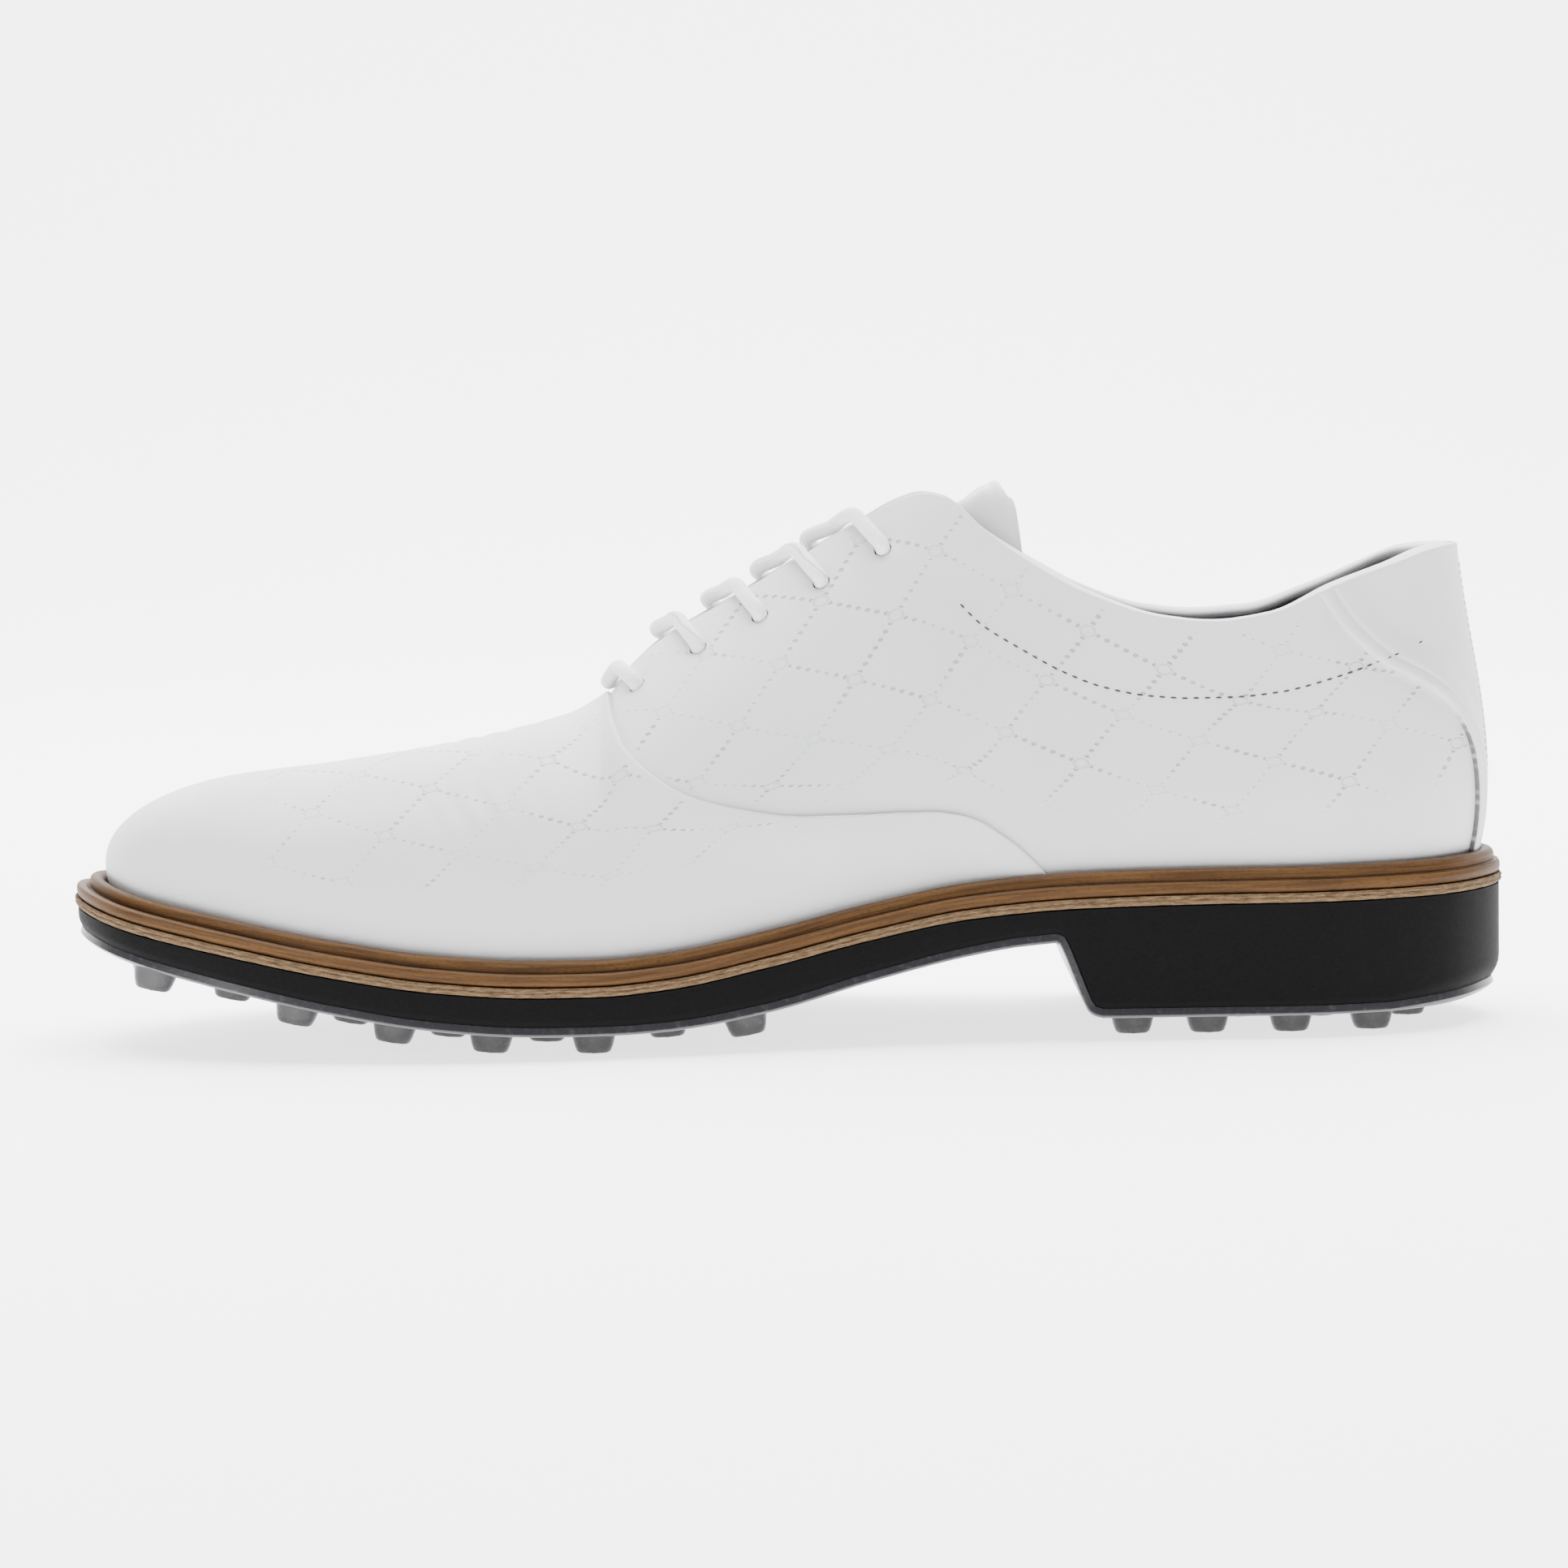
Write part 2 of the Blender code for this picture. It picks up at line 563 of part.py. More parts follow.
# --- the sole ----------------------------------------------------------------------
def sole(looks):
    outer = welt_margin()
    rounding = edge_round()
    runner_top = -SHELF - GAP
    midsole_top = runner_top - RUNNER - GAP

    welt_profile = [(WELT_INNER, 0.0), (WELT_INNER, -SHELF), (outer - 0.8, -SHELF),
                    (outer, -SHELF + 0.9), (outer, -0.9), (outer - 0.9, 0.0),
                    (BEAD_CENTRE + BEAD_RADIUS, 0.1)]
    welt_profile += [(BEAD_CENTRE + BEAD_RADIUS * math.cos(a), 1.0 + BEAD_RADIUS * math.sin(a))
                     for a in np.linspace(0, math.pi, 5)]
    welt_profile += [(BEAD_CENTRE - BEAD_RADIUS, 0.0)]
    welt = stack("storm_welt", [loop(m, above_welt(z)) for m, z in welt_profile], looks["welt"],
                 ring=True)
    joint = bmesh.new()
    bmesh.ops.create_cube(joint, size=1.0)
    bmesh.ops.scale(joint, vec=(GAP * 1.5, 20.0, 14.0), verts=joint.verts)
    bmesh.ops.rotate(joint, matrix=Matrix.Rotation(math.radians(-40), 3, "Y"), verts=joint.verts)
    x = place(BREAST_BOTTOM) + 9.0
    inner_y = float(np.interp(x, edge(0.0)[0][:, 0], edge(0.0)[0][:, 1]))
    bmesh.ops.translate(joint, vec=(x, inner_y - 2.0, float(welt_level(x)) - 0.5), verts=joint.verts)
    boolean(welt, finish("welt_joint_cut", joint, looks["welt"]), "DIFFERENCE")

    runner_profile = [(WELT_INNER, runner_top), (WELT_INNER, runner_top - RUNNER),
                      (outer, runner_top - RUNNER), (outer + 0.2, runner_top - RUNNER / 2),
                      (outer, runner_top)]
    stack("welt_runner", [loop(m, above_welt(z)) for m, z in runner_profile], looks["runner"],
          ring=True)

    middle, under = tread(0.0)
    steps = [(outer - 0.2, above_welt(midsole_top))]
    for turn in (0.0, 0.35, 0.7, 1.0):
        inset = rounding * (1 - math.cos(turn * math.pi / 2))
        lift = rounding * (1 - math.sin(turn * math.pi / 2))
        steps.append((outer - 0.2 - inset, raised(under, lift)))
    stack("midsole", [loop(m, level, middle) for m, level in steps], looks["midsole"])

    film_top, film_low = tread(GAP), tread(GAP + FILM)
    film = stack("outsole", [
        loop(outer - 0.2 - rounding, film_top[1], film_top[0]),
        loop(outer - 0.4 - rounding, film_low[1], film_low[0]),
    ], looks["outsole"])
    boolean(film, studs(film_low[1], looks["outsole"]), "UNION")

    plate("insole_board", -(SKIN + 2 * LAYER_GAP + STIFFENER + LINING + 0.9), GAP + BOARD, BOARD,
          looks["board"])
    filling = -midsole_top - 2 * GAP
    plate("forefoot_filler", WELT_INNER - GAP, 0.0, filling, looks["cork"], stop=place(0.45))
    plate("heel_filler", WELT_INNER - GAP, 0.0, filling, looks["cork"], start=place(0.76))
    shank(-filling / 2, looks["steel"])


def raised(level, lift):
    """A level moved up by a rounding that is known round the outline."""
    places = np.argsort(OUTLINE[:, 0])
    return lambda x: level(x) + np.interp(x, OUTLINE[places, 0], lift[places])


def shank(up, look):
    """The steel strip under the arch, with round ends, ribbed down its middle."""
    first, last = place(0.465), place(0.745)
    xs = np.linspace(first, last, 14)
    inset = np.minimum(xs - first, last - xs)
    radius = SHANK_WIDTH / 2
    half = radius - 0.55 * np.maximum(radius - inset, 0)
    middle = table(MIDDLE, share(xs))
    across = np.array([-1.0, -0.35, 0.0, 0.35, 1.0])
    rib = np.array([0.0, 0.0, 0.9, 0.0, 0.0])
    grids = []
    for z in (up, up - SHANK):
        grid = [[(x, m + h * a, float(welt_level(x)) + z + r) for a, r in zip(across, rib)]
                for x, m, h in zip(xs, middle, half)]
        grids.append(grid)
    slab("shank", *grids, look)


# Studs, as the place along the last and the share of the sole's half width there.
EDGE_STUDS = (0.042, 0.146, 0.215, 0.283, 0.355, 0.462)
BETWEEN_STUDS = (0.095, 0.180, 0.249, 0.319, 0.405)
MIDDLE_STUDS = (0.030, 0.120, 0.190, 0.262, 0.335, 0.430)
HEEL_EDGE_STUDS = (0.742, 0.796, 0.856, 0.915)
HEEL_INNER_STUDS = (0.769, 0.826, 0.885, 0.950)
STUD_ROWS = (
    (EDGE_STUDS, -0.78), (EDGE_STUDS, 0.78), (BETWEEN_STUDS, -0.42), (BETWEEN_STUDS, 0.42),
    (MIDDLE_STUDS, 0.0), (HEEL_EDGE_STUDS, -0.66), (HEEL_EDGE_STUDS, 0.66),
    (HEEL_INNER_STUDS, 0.0),
)


def studs(under, look):
    """All the studs as one set of tapered blocks with a ridged tread face."""
    sides = edge(welt_margin() - edge_round())
    bm = bmesh.new()
    root, drop = FILM * 0.5, STUD_DROP
    for row, across in STUD_ROWS:
        for along in row:
            x = place(along)
            near, far = (float(np.interp(x, side[:, 0], side[:, 1])) for side in sides)
            y = (near + far) / 2 + across * (far - near) / 2
            base = float(under(x))
            slope = float(under(x + 2) - under(x - 2)) / 4
            add_stud(bm, Vector((x, y, base)), math.atan(slope), root, drop)
    return finish("stud_blocks", bm, look)


def add_stud(bm, at, tilt, root, drop):
    """One six-sided block: wide at the film, narrower at its flat tread face."""
    turn = Matrix.Rotation(-tilt, 3, "Y")
    rings = []
    for z, grow in ((root, 1.0), (-drop * 0.55, 0.92), (-drop, 0.72)):
        half_x, half_y = STUD_LENGTH / 2 * grow, STUD_WIDTH / 2 * grow
        corners = ((-1, 0), (-0.55, -1), (0.55, -1), (1, 0), (0.55, 1), (-0.55, 1))
        rings.append([bm.verts.new(at + turn @ Vector((half_x * a, half_y * b, z)))
                      for a, b in corners])
    for upper, lower in zip(rings, rings[1:]):
        for i in range(6):
            bm.faces.new((upper[i], upper[i - 1], lower[i - 1], lower[i]))
    bm.faces.new(rings[0])
    bm.faces.new(rings[-1][::-1])


# --- the upper ---------------------------------------------------------------------
STIFFENER_DEPTH = SKIN + LAYER_GAP
LINING_DEPTH = STIFFENER_DEPTH + STIFFENER + LAYER_GAP
LINING_INSIDE = LINING_DEPTH + LINING


def ease(value, low, high):
    at = np.clip((value - low) / (high - low), 0, 1)
    return at * at * (3 - 2 * at)


def collar_share(w, t):
    """How far the collar's padding has grown to its full thickness."""
    return ease(w, w_at(0.62), w_at(0.70)) * ease(t, 0.50, 0.72)


def lining_depth(w, t):
    return LINING_DEPTH + (COLLAR_PAD - STIFFENER) * collar_share(w, t)


def padding_thickness(w, t):
    return lining_depth(w, t) - LAYER_GAP - STIFFENER_DEPTH


def upper(looks):
    both = (MEDIAL, LATERAL)
    behind = SEAM_GAP / SIDE_LENGTH
    sheet("vamp", [patch(s, 0.0, VAMP_END - 1.3 * seam_step()) for s in both], 0.0, SKIN,
          looks["leather"])
    quarters = {
        side: sheet(name, [patch(side, VAMP_END, HEEL_START - behind)], 0.0, SKIN, looks["leather"])
        for side, name in ((MEDIAL, "quarter_medial"), (LATERAL, "quarter_lateral"))}
    sheet("heel_cover", [patch(s, HEEL_START + behind, 1.0) for s in both], 0.0, SKIN,
          looks["leather"])

    split = column(0.372)
    sheet("vamp_lining", [patch(s, 0.0, split - behind) for s in both], LINING_DEPTH, LINING,
          looks["lining"])
    quarter_lining = sheet("quarter_lining", [patch(s, split + behind, 1.0) for s in both],
                           lining_depth, LINING, looks["black_lining"])
    low, high = ROWS[ROWS < 0.55], ROWS[ROWS > 0.55]
    sheet("heel_counter", [patch(s, column(0.80), 1.0, low) for s in both], STIFFENER_DEPTH,
          STIFFENER, looks["counter"])
    sheet("toe_puff", [patch(s, 0.0, column(0.115)) for s in both], STIFFENER_DEPTH, STIFFENER,
          looks["counter"])
    sheet("collar_padding", [patch(s, column(0.66), 1.0, high) for s in both], STIFFENER_DEPTH,
          padding_thickness, looks["foam"])

    for side, name in ((MEDIAL, "medial"), (LATERAL, "lateral")):
        stay = sheet(f"eyestay_{name}", [patch(side, column(0.402), column(0.60), high)],
                     STIFFENER_DEPTH, EYESTAY, looks["counter"])
        holes = eyelet_cutters(side, looks["steel"])
        for piece in (quarters[side], stay, quarter_lining):
            boolean(piece, holes, "DIFFERENCE")


def seam_step():
    """How far back to stop before the seam at each row, to leave an even gap to it.

    The seam leans, so where it runs nearly level the step along the row is longer.
    """
    lean = np.abs(np.diff(VAMP_END) / np.diff(ROWS)) * SIDE_LENGTH / 80.0
    lean = np.maximum(np.append(lean, 0.0), np.append(0.0, lean))
    return SEAM_GAP / SIDE_LENGTH * np.hypot(1.0, lean)


def column(along):
    """The shared column nearest to a place."""
    return COLUMNS[np.abs(COLUMNS - w_at(along)).argmin()]


def eyelets(side):
    """The lace holes of one side: their places (w, t), from the throat upwards."""
    found = []
    which = 0 if side == MEDIAL else 1
    for row in range(EYELET_ROWS):
        w = float(w_at(FIRST_EYELET[which] + row * EYELET_PITCH[which] / LAST_LENGTH))
        t = np.linspace(1, 0.3, 141)
        wall = last_surface(side, np.full(141, w), t)
        found.append((w, float(np.interp(EYELET_INSET, chords(wall), t))))
    return found


def eyelet_cutters(side, look):
    """Round punches through the three layers of one side, one at each lace hole."""
    bm = bmesh.new()
    for w, t in eyelets(side):
        outside, deep = (Vector(inside(side, w, t, d)) for d in (-2.0, LINING_INSIDE + 1.5))
        ahead = (deep - outside).normalized()
        turn = ahead.to_track_quat("Z", "Y").to_matrix().to_4x4()
        bmesh.ops.create_cone(bm, cap_ends=True, segments=10, radius1=EYELET_RADIUS,
                              radius2=EYELET_RADIUS, depth=(deep - outside).length,
                              matrix=Matrix.Translation((deep + outside) / 2) @ turn)
    return finish(f"eyelet_punch_{side}", bm, look)


# --- the footbed -------------------------------------------------------------------
def footbed(looks):
    foam_top = GAP + BOARD + GAP + FOOTBED_FOAM
    hinge = pivot("footbed_hinge", place(FOOTBED_HINGE),
                  float(welt_level(place(FOOTBED_HINGE))) + GAP + BOARD + GAP)
    pieces = [
        plate("footbed_foam", -FOOTBED_INSET, foam_top, FOOTBED_FOAM, looks["foam"]),
        plate("footbed_cover", -FOOTBED_INSET, foam_top + GAP + FOOTBED_COVER, FOOTBED_COVER,
              looks["footbed"]),
    ]
    hang(pieces, hinge)


# --- the tongue --------------------------------------------------------------------
ACROSS = np.array([-1.0, -0.86, -0.68, -0.48, -0.28, 0.0, 0.28, 0.48, 0.68, 0.86, 1.0])


def ceiling(x, across, depth):
    """The height under the upper's walls at a place, at a depth below their surface.

    Between the two edges of the lacing and above the mouth there is no wall. The wall
    line is moved along until the point under it has the place's own x.
    """
    side, start = (MEDIAL if across < 0 else LATERAL), x
    t = np.linspace(1, 0.12, 90)
    for _ in range(4):
        along = float(share(start))
        wall = inside(side, np.full(len(t), float(w_at(along))), t, np.full(len(t), depth))
        out = (wall[:, 1] - float(table(MIDDLE, along))) * side
        grown = np.maximum.accumulate(out)
        start += x - float(np.interp(abs(across), grown, wall[:, 0]))
    if abs(across) < out[0]:
        return math.inf
    return float(np.interp(abs(across), grown, wall[:, 2]))


def tongue_layer(down):
    """The tongue's shape at a depth: under the lacing, then straight on out of the mouth."""
    places = np.linspace(TONGUE_ROOT, TONGUE_LEAVES, 10)
    depths = LINING_INSIDE + 1.2 + (LACING_SPACE - 1.2) * ease(places, TONGUE_ROOT + 0.02, 0.36)
    reach = TONGUE_HALF_WIDTH * ACROSS
    rows = []
    for along, depth in zip(places, depths):
        x, middle = place(along), float(table(MIDDLE, along))
        heights = [ceiling(x, y, depth + down) for y in reach]
        crown = max(h for h, y in zip(heights, reach) if abs(y) > 0.25 * TONGUE_HALF_WIDTH
                    and h < math.inf) + 0.8
        heights = [crown if y == 0 else min(h, crown) for h, y in zip(heights, reach)]
        rows.append(np.array([(x, middle + y, h) for y, h in zip(reach, heights)]))
    mouth, crown = rows[-1], rows[-1][len(reach) // 2]
    ahead = np.array([math.cos(TONGUE_SLOPE), 0.0, math.sin(TONGUE_SLOPE)])
    for part in (0.2, 0.4, 0.6, 0.8, 1.0):
        row = mouth + (part * (TONGUE_END + (crown - mouth) @ ahead))[:, None] * ahead
        walls = [ceiling(x, y, depths[-1] + down) for x, y in zip(row[:, 0], reach)]
        row[:, 2] = np.minimum(row[:, 2], walls)
        rows.append(row)
    return rows


def tongue(looks):
    layers = (("tongue_face", TONGUE_FACE, "leather"), ("tongue_foam", TONGUE_FOAM, "foam"),
              ("tongue_lining", TONGUE_BACK, "black_lining"))
    down = 0.0
    pieces = []
    for name, thick, look in layers:
        pieces.append(slab(name, tongue_layer(down), tongue_layer(down + thick), looks[look]))
        down += thick + LAYER_GAP
    root = tongue_layer(down)[0]
    hinge = pivot("tongue_hinge", float(root[0][0]), float(root[:, 2].max()))
    hang(pieces, hinge)


# --- the lace ----------------------------------------------------------------------
def lace_route():
    """The lace's middle line: straight bars over the tongue, runs under the quarters.

    It starts inside the inner side, crosses at the lowest holes, climbs one row under
    the outer side, crosses back, and so on to the top, and ends inside the outer side.
    """
    over, under = -(LACE_RADIUS + 0.6), LINING_INSIDE + LACE_RADIUS + LAYER_GAP
    holes = {side: eyelets(side) for side in (MEDIAL, LATERAL)}
    route = tail(MEDIAL, holes[MEDIAL][0], under)[::-1]
    side = MEDIAL
    for row in range(EYELET_ROWS):
        route += bar(side, holes, row, over)
        side = -side
        if row < EYELET_ROWS - 1:
            (w, t), (next_w, next_t) = holes[side][row], holes[side][row + 1]
            for part in (0.16, 0.5, 0.84):
                at = (w + part * (next_w - w), t + part * (next_t - t))
                route.append(inside(side, *at, under))
    route += tail(side, holes[side][-1], under)
    return np.array(route)


def bar(side, holes, row, over):
    """One straight bar: up through a hole, over both edges, down through the other."""
    points = []
    for this, order in ((side, 1), (-side, -1)):
        w, t = holes[this][row]
        hole = last_surface(this, w, t)
        rise = [inside(this, w, t, d) for d in (LINING_INSIDE - 0.4, 1.2)]
        rise.append(inside(this, w, t + 0.006, -0.8))
        across = []
        for part in (0.25, 0.6, 0.95):
            up = last_surface(this, w, t + part * (1 - t))[2] - hole[2]
            leaning = float(w_at(share(hole[0] - math.tan(TONGUE_SLOPE) * up)))
            across.append(inside(this, leaning, t + part * (1 - t), over - 0.4 * part))
        points.append((rise + across)[::order])
    crown = (points[0][-1] + points[1][0]) / 2 + np.array([0.0, 0.0, 1.1])
    return points[0] + [crown] + points[1]


def tail(side, hole, under):
    """A free end tucked between the quarter's lining and the tongue, heading back."""
    w, t = hole
    toe_first = w < w_at(0.45)
    reach = TAIL_LENGTH / SIDE_LENGTH
    route = []
    for part in (0.03, 0.12, 0.28, 0.5, 0.75, 1.0):
        ahead = w + reach * part if toe_first else w - reach * part
        route.append(inside(side, ahead, t - 0.17 * ease(part, 0.0, 0.35), under + 0.4))
    return route


def lace(looks):
    route = lace_route()
    run = chords(route)
    count = int(run[-1] / 3.1)
    line = smooth(route, np.linspace(AGLET_LENGTH, run[-1] - AGLET_LENGTH, count))
    tube("lace", line, LACE_RADIUS, 1, looks["lace"])
    for name, first, last in (("aglet_start", 1.0, AGLET_LENGTH - GAP),
                              ("aglet_end", run[-1] - AGLET_LENGTH + GAP, run[-1] - 1.0)):
        tube(name, smooth(route, np.linspace(first, last, 5)), AGLET_RADIUS, 1, looks["aglet"])


def tube(name, line, radius, rounds, look):
    curve = bpy.data.curves.new(name, "CURVE")
    curve.dimensions = "3D"
    curve.bevel_depth = radius * MM
    curve.bevel_resolution = rounds
    curve.use_fill_caps = True
    curve.materials.append(look)
    spline = curve.splines.new("POLY")
    spline.points.add(len(line) - 1)
    spline.points.foreach_set("co", np.column_stack([line * MM, np.ones(len(line))]).ravel())
    made = bpy.data.objects.new(name, curve)
    bpy.context.scene.collection.objects.link(made)
    return made


def main():
    for item in list(bpy.data.objects):
        bpy.data.objects.remove(item)
    looks = {
        "leather": material("white_leather", (0.86, 0.86, 0.86), 0.42),
        "lining": material("lining_leather", (0.62, 0.60, 0.57), 0.8),
        "black_lining": material("black_lining", (0.015, 0.015, 0.017), 0.9),
        "counter": material("stiffener_board", (0.55, 0.52, 0.46), 0.8),
        "foam": material("foam", (0.30, 0.30, 0.31), 0.95),
        "footbed": material("footbed_leather", (0.10, 0.10, 0.11), 0.7),
        "welt": material("welt_leather", (0.42, 0.26, 0.13), 0.62),
        "runner": material("runner_board", (0.46, 0.33, 0.20), 0.85),
        "board": material("insole_board", (0.50, 0.40, 0.28), 0.85),
        "cork": material("cork_filler", (0.45, 0.30, 0.17), 0.9),
        "steel": material("shank_steel", (0.55, 0.56, 0.58), 0.35, 1.0),
        "midsole": material("midsole_foam", (0.010, 0.010, 0.012), 0.55),
        "outsole": material("outsole_tpu", (0.30, 0.31, 0.36), 0.25),
        "lace": material("lace_cotton", (0.85, 0.85, 0.84), 0.8),
        "aglet": material("aglet_plastic", (0.80, 0.80, 0.80), 0.3),
    }
    sole(looks)
    upper(looks)
    footbed(looks)
    tongue(looks)
    lace(looks)


main()
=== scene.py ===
# %% [markdown]
# # A golf shoe in cells
# This lesson dresses a packed shoe model: the frame gives every part its place and size, and
# each cell below replaces one plain part with a finished one. All sizes are in millimetres,
# and one helper turns them into metres when a mesh is made.

# %% Load the frame
import math

import bmesh
import bpy
import numpy as np
from mathutils import Matrix, Quaternion, Vector


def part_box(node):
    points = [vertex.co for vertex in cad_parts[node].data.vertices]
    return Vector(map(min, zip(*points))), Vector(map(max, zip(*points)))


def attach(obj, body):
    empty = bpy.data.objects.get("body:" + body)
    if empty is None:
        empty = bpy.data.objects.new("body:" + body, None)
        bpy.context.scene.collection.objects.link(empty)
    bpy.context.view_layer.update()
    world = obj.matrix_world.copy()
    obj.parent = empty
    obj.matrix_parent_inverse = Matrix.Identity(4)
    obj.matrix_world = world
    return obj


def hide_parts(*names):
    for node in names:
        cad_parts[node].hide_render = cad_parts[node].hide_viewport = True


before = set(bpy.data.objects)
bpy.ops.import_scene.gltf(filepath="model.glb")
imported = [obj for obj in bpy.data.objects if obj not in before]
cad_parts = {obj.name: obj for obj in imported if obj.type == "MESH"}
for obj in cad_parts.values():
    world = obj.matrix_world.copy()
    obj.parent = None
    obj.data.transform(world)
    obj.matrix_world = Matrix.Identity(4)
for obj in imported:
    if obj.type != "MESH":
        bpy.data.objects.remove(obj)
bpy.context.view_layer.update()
MM = 0.001
INNER, OUTER = -1, 1

# %% [markdown]
# ## Curves
# A shoe is drawn from a few curves: the feather line where the upper meets the sole, the
# height of the welt, and the top line. Each one is a short table of proportions, and a cubic
# that never overshoots joins its rows, so a flat stretch stays flat.


# %% Curves through tables
def cubic(knots, values, slopes, at):
    """Hermite cubic: values and slopes at the knots, blended by cubic weights between them."""
    at = np.clip(np.asarray(at, float), knots[0], knots[-1])
    i = np.clip(np.searchsorted(knots, at, side="right") - 1, 0, len(knots) - 2)
    span = knots[i + 1] - knots[i]
    f = (at - knots[i]) / span
    if values.ndim > 1:
        f, span = f[..., None], span[..., None]
    start = (1 + 2 * f) * (1 - f) ** 2 * values[i] + f * (1 - f) ** 2 * span * slopes[i]
    end = f * f * (3 - 2 * f) * values[i + 1] - f * f * (1 - f) * span * slopes[i + 1]
    return start + end


def chords(points):
    """The running length of the straight lines between points."""
    steps = np.linalg.norm(np.diff(points, axis=0), axis=1)
    return np.concatenate([[0.0], np.cumsum(steps)])


def smooth(points, at):
    """A smooth path through points, read at lengths along its chords."""
    points = np.asarray(points, float)
    knots = chords(points)
    return cubic(knots, points, np.gradient(points, knots, axis=0), at)


def table(rows, at):
    """A curve through rows of (place, values...), its slopes the harmonic mean of the rises."""
    rows = np.asarray(rows, float)
    knots, values = rows[:, 0], rows[:, 1:]
    rise = np.diff(values, axis=0) / np.diff(knots)[:, None]
    before, after = rise[:-1], rise[1:]
    even = 2 * before * after / np.where(before * after > 0, before + after, 1)
    inner = np.where(before * after > 0, even, 0)
    found = cubic(knots, values, np.concatenate([rise[:1], inner, rise[-1:]]), at)
    return found[..., 0] if values.shape[1] == 1 else found


def ease(value, low, high):
    """0 below low, 1 above high, and 3f^2 - 2f^3 between."""
    f = np.clip((value - low) / (high - low), 0, 1)
    return f * f * (3 - 2 * f)


# %% Sizes from the frame
welt_low, welt_high = (np.array(corner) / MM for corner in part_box("storm_welt"))
TOE_MARGIN, HEEL_MARGIN = 7.0, 5.5
LAST_LENGTH = round(welt_high[0] - welt_low[0] - TOE_MARGIN - HEEL_MARGIN)
GAP = 0.3
BALL_PLACE = 0.31
ball_margin = TOE_MARGIN + BALL_PLACE * (HEEL_MARGIN - TOE_MARGIN)
BALL_WIDTH = round(welt_high[1] - welt_low[1] - 2 * ball_margin - GAP)
WELT_BALL_LEVEL, WELT_TOE_RISE, WELT_HEEL_RISE = 17.8, 16.6, 15.6
TREAD_LEVEL, TREAD_TOE_RISE, TREAD_WAIST_RISE = 6.2, 18.3, 15.5
BREAST_TOP, BREAST_BOTTOM = 0.692, 0.711
EDGE_ROUND, TOE_ROUND, HEEL_ROUND = 2.2, 3.2, 7.0
SHELF, RUNNER, FILM, STUD_DROP = 2.6, 1.8, 1.2, 4.7
SKIN, LINING_DEPTH, LINING, COLLAR_EXTRA = 1.3, 3.3, 0.8, 2.2
TOE_BOX_TOP, THROAT_TOP, INSTEP_TOP = 57.3, 70.6, 114.2
COLLAR_DIP, HEEL_TOP = 87.0, 101.7
HEEL_BULGE, SIDE_BULGE = 3.5, 2.4
print("last:", LAST_LENGTH, "mm long and", BALL_WIDTH, "mm wide")

# %% The feather line
FEATHER = (
    (0.000, -0.085), (0.024, -0.285), (0.092, -0.419), (0.188, -0.484), (0.308, -0.500),
    (0.428, -0.441), (0.548, -0.362), (0.668, -0.328), (0.788, -0.328), (0.890, -0.318),
    (0.966, -0.210), (1.000, 0.000), (0.966, 0.220), (0.890, 0.333), (0.788, 0.366),
    (0.668, 0.392), (0.548, 0.435), (0.428, 0.484), (0.325, 0.500), (0.205, 0.446),
    (0.103, 0.317), (0.027, 0.113),
)
TOE_X = -(LAST_LENGTH + HEEL_MARGIN - TOE_MARGIN) / 2


def share(x):
    """0 at the toe of the last, 1 at its heel."""
    return (np.asarray(x, float) - TOE_X) / LAST_LENGTH


def place(along):
    return TOE_X + along * LAST_LENGTH


def closed_outline():
    """The feather line as 1600 points, with the flat direction that points out of it."""
    corners = np.array([(place(a), b * BALL_WIDTH) for a, b in FEATHER])
    ring = np.concatenate([corners[-3:], corners, corners[:4]])
    knots = chords(ring)
    points = smooth(ring, np.linspace(knots[3], knots[3 + len(corners)], 1600, endpoint=False))
    points[:, 1] -= (points[:, 1].max() + points[:, 1].min()) / 2
    ahead = np.roll(points, -1, axis=0) - np.roll(points, 1, axis=0)
    out = np.stack([ahead[:, 1], -ahead[:, 0]], axis=1)
    return points, out / np.linalg.norm(out, axis=1)[:, None]


OUTLINE, OUTWARD = closed_outline()
RIM_SHARE = np.clip(share(OUTLINE[:, 0]), 0, 1)
WELT_MARGIN = TOE_MARGIN + (HEEL_MARGIN - TOE_MARGIN) * RIM_SHARE
print("feather line:", round(float(chords(OUTLINE)[-1])), "mm round")


# %% Heights along the shoe
TOE_CURVE = (
    (-0.03, 1.03), (0.028, 0.79), (0.10, 0.54), (0.172, 0.29), (0.244, 0.10),
    (0.3125, 0.012), (0.3605, 0.0), (1.03, 0.0),
)
HEEL_CURVE = (
    (-0.03, 0.0), (0.3605, 0.0), (0.408, 0.06), (0.48, 0.30), (0.552, 0.60),
    (0.624, 0.845), (0.696, 0.95), (0.771, 0.985), (0.908, 1.0), (1.03, 1.02),
)
WAIST_CURVE = (
    (-0.03, 0.0), (0.375, 0.0), (0.408, 0.025), (0.48, 0.22), (0.552, 0.57),
    (0.624, 0.88), (0.668, 1.0), (0.72, 1.04), (1.03, 1.04),
)
BREAST = ((-0.36, 1.0), (-0.06, 0.96), (0.14, 0.82), (0.5, 0.5), (0.86, 0.18), (1.06, 0.04),
          (1.36, 0.0))


def welt_level(x):
    """The shelf's height: a ball level, plus a toe rise and a heel rise by their curves."""
    along = share(x)
    rise = WELT_TOE_RISE * table(TOE_CURVE, along) + WELT_HEEL_RISE * table(HEEL_CURVE, along)
    return WELT_BALL_LEVEL + rise


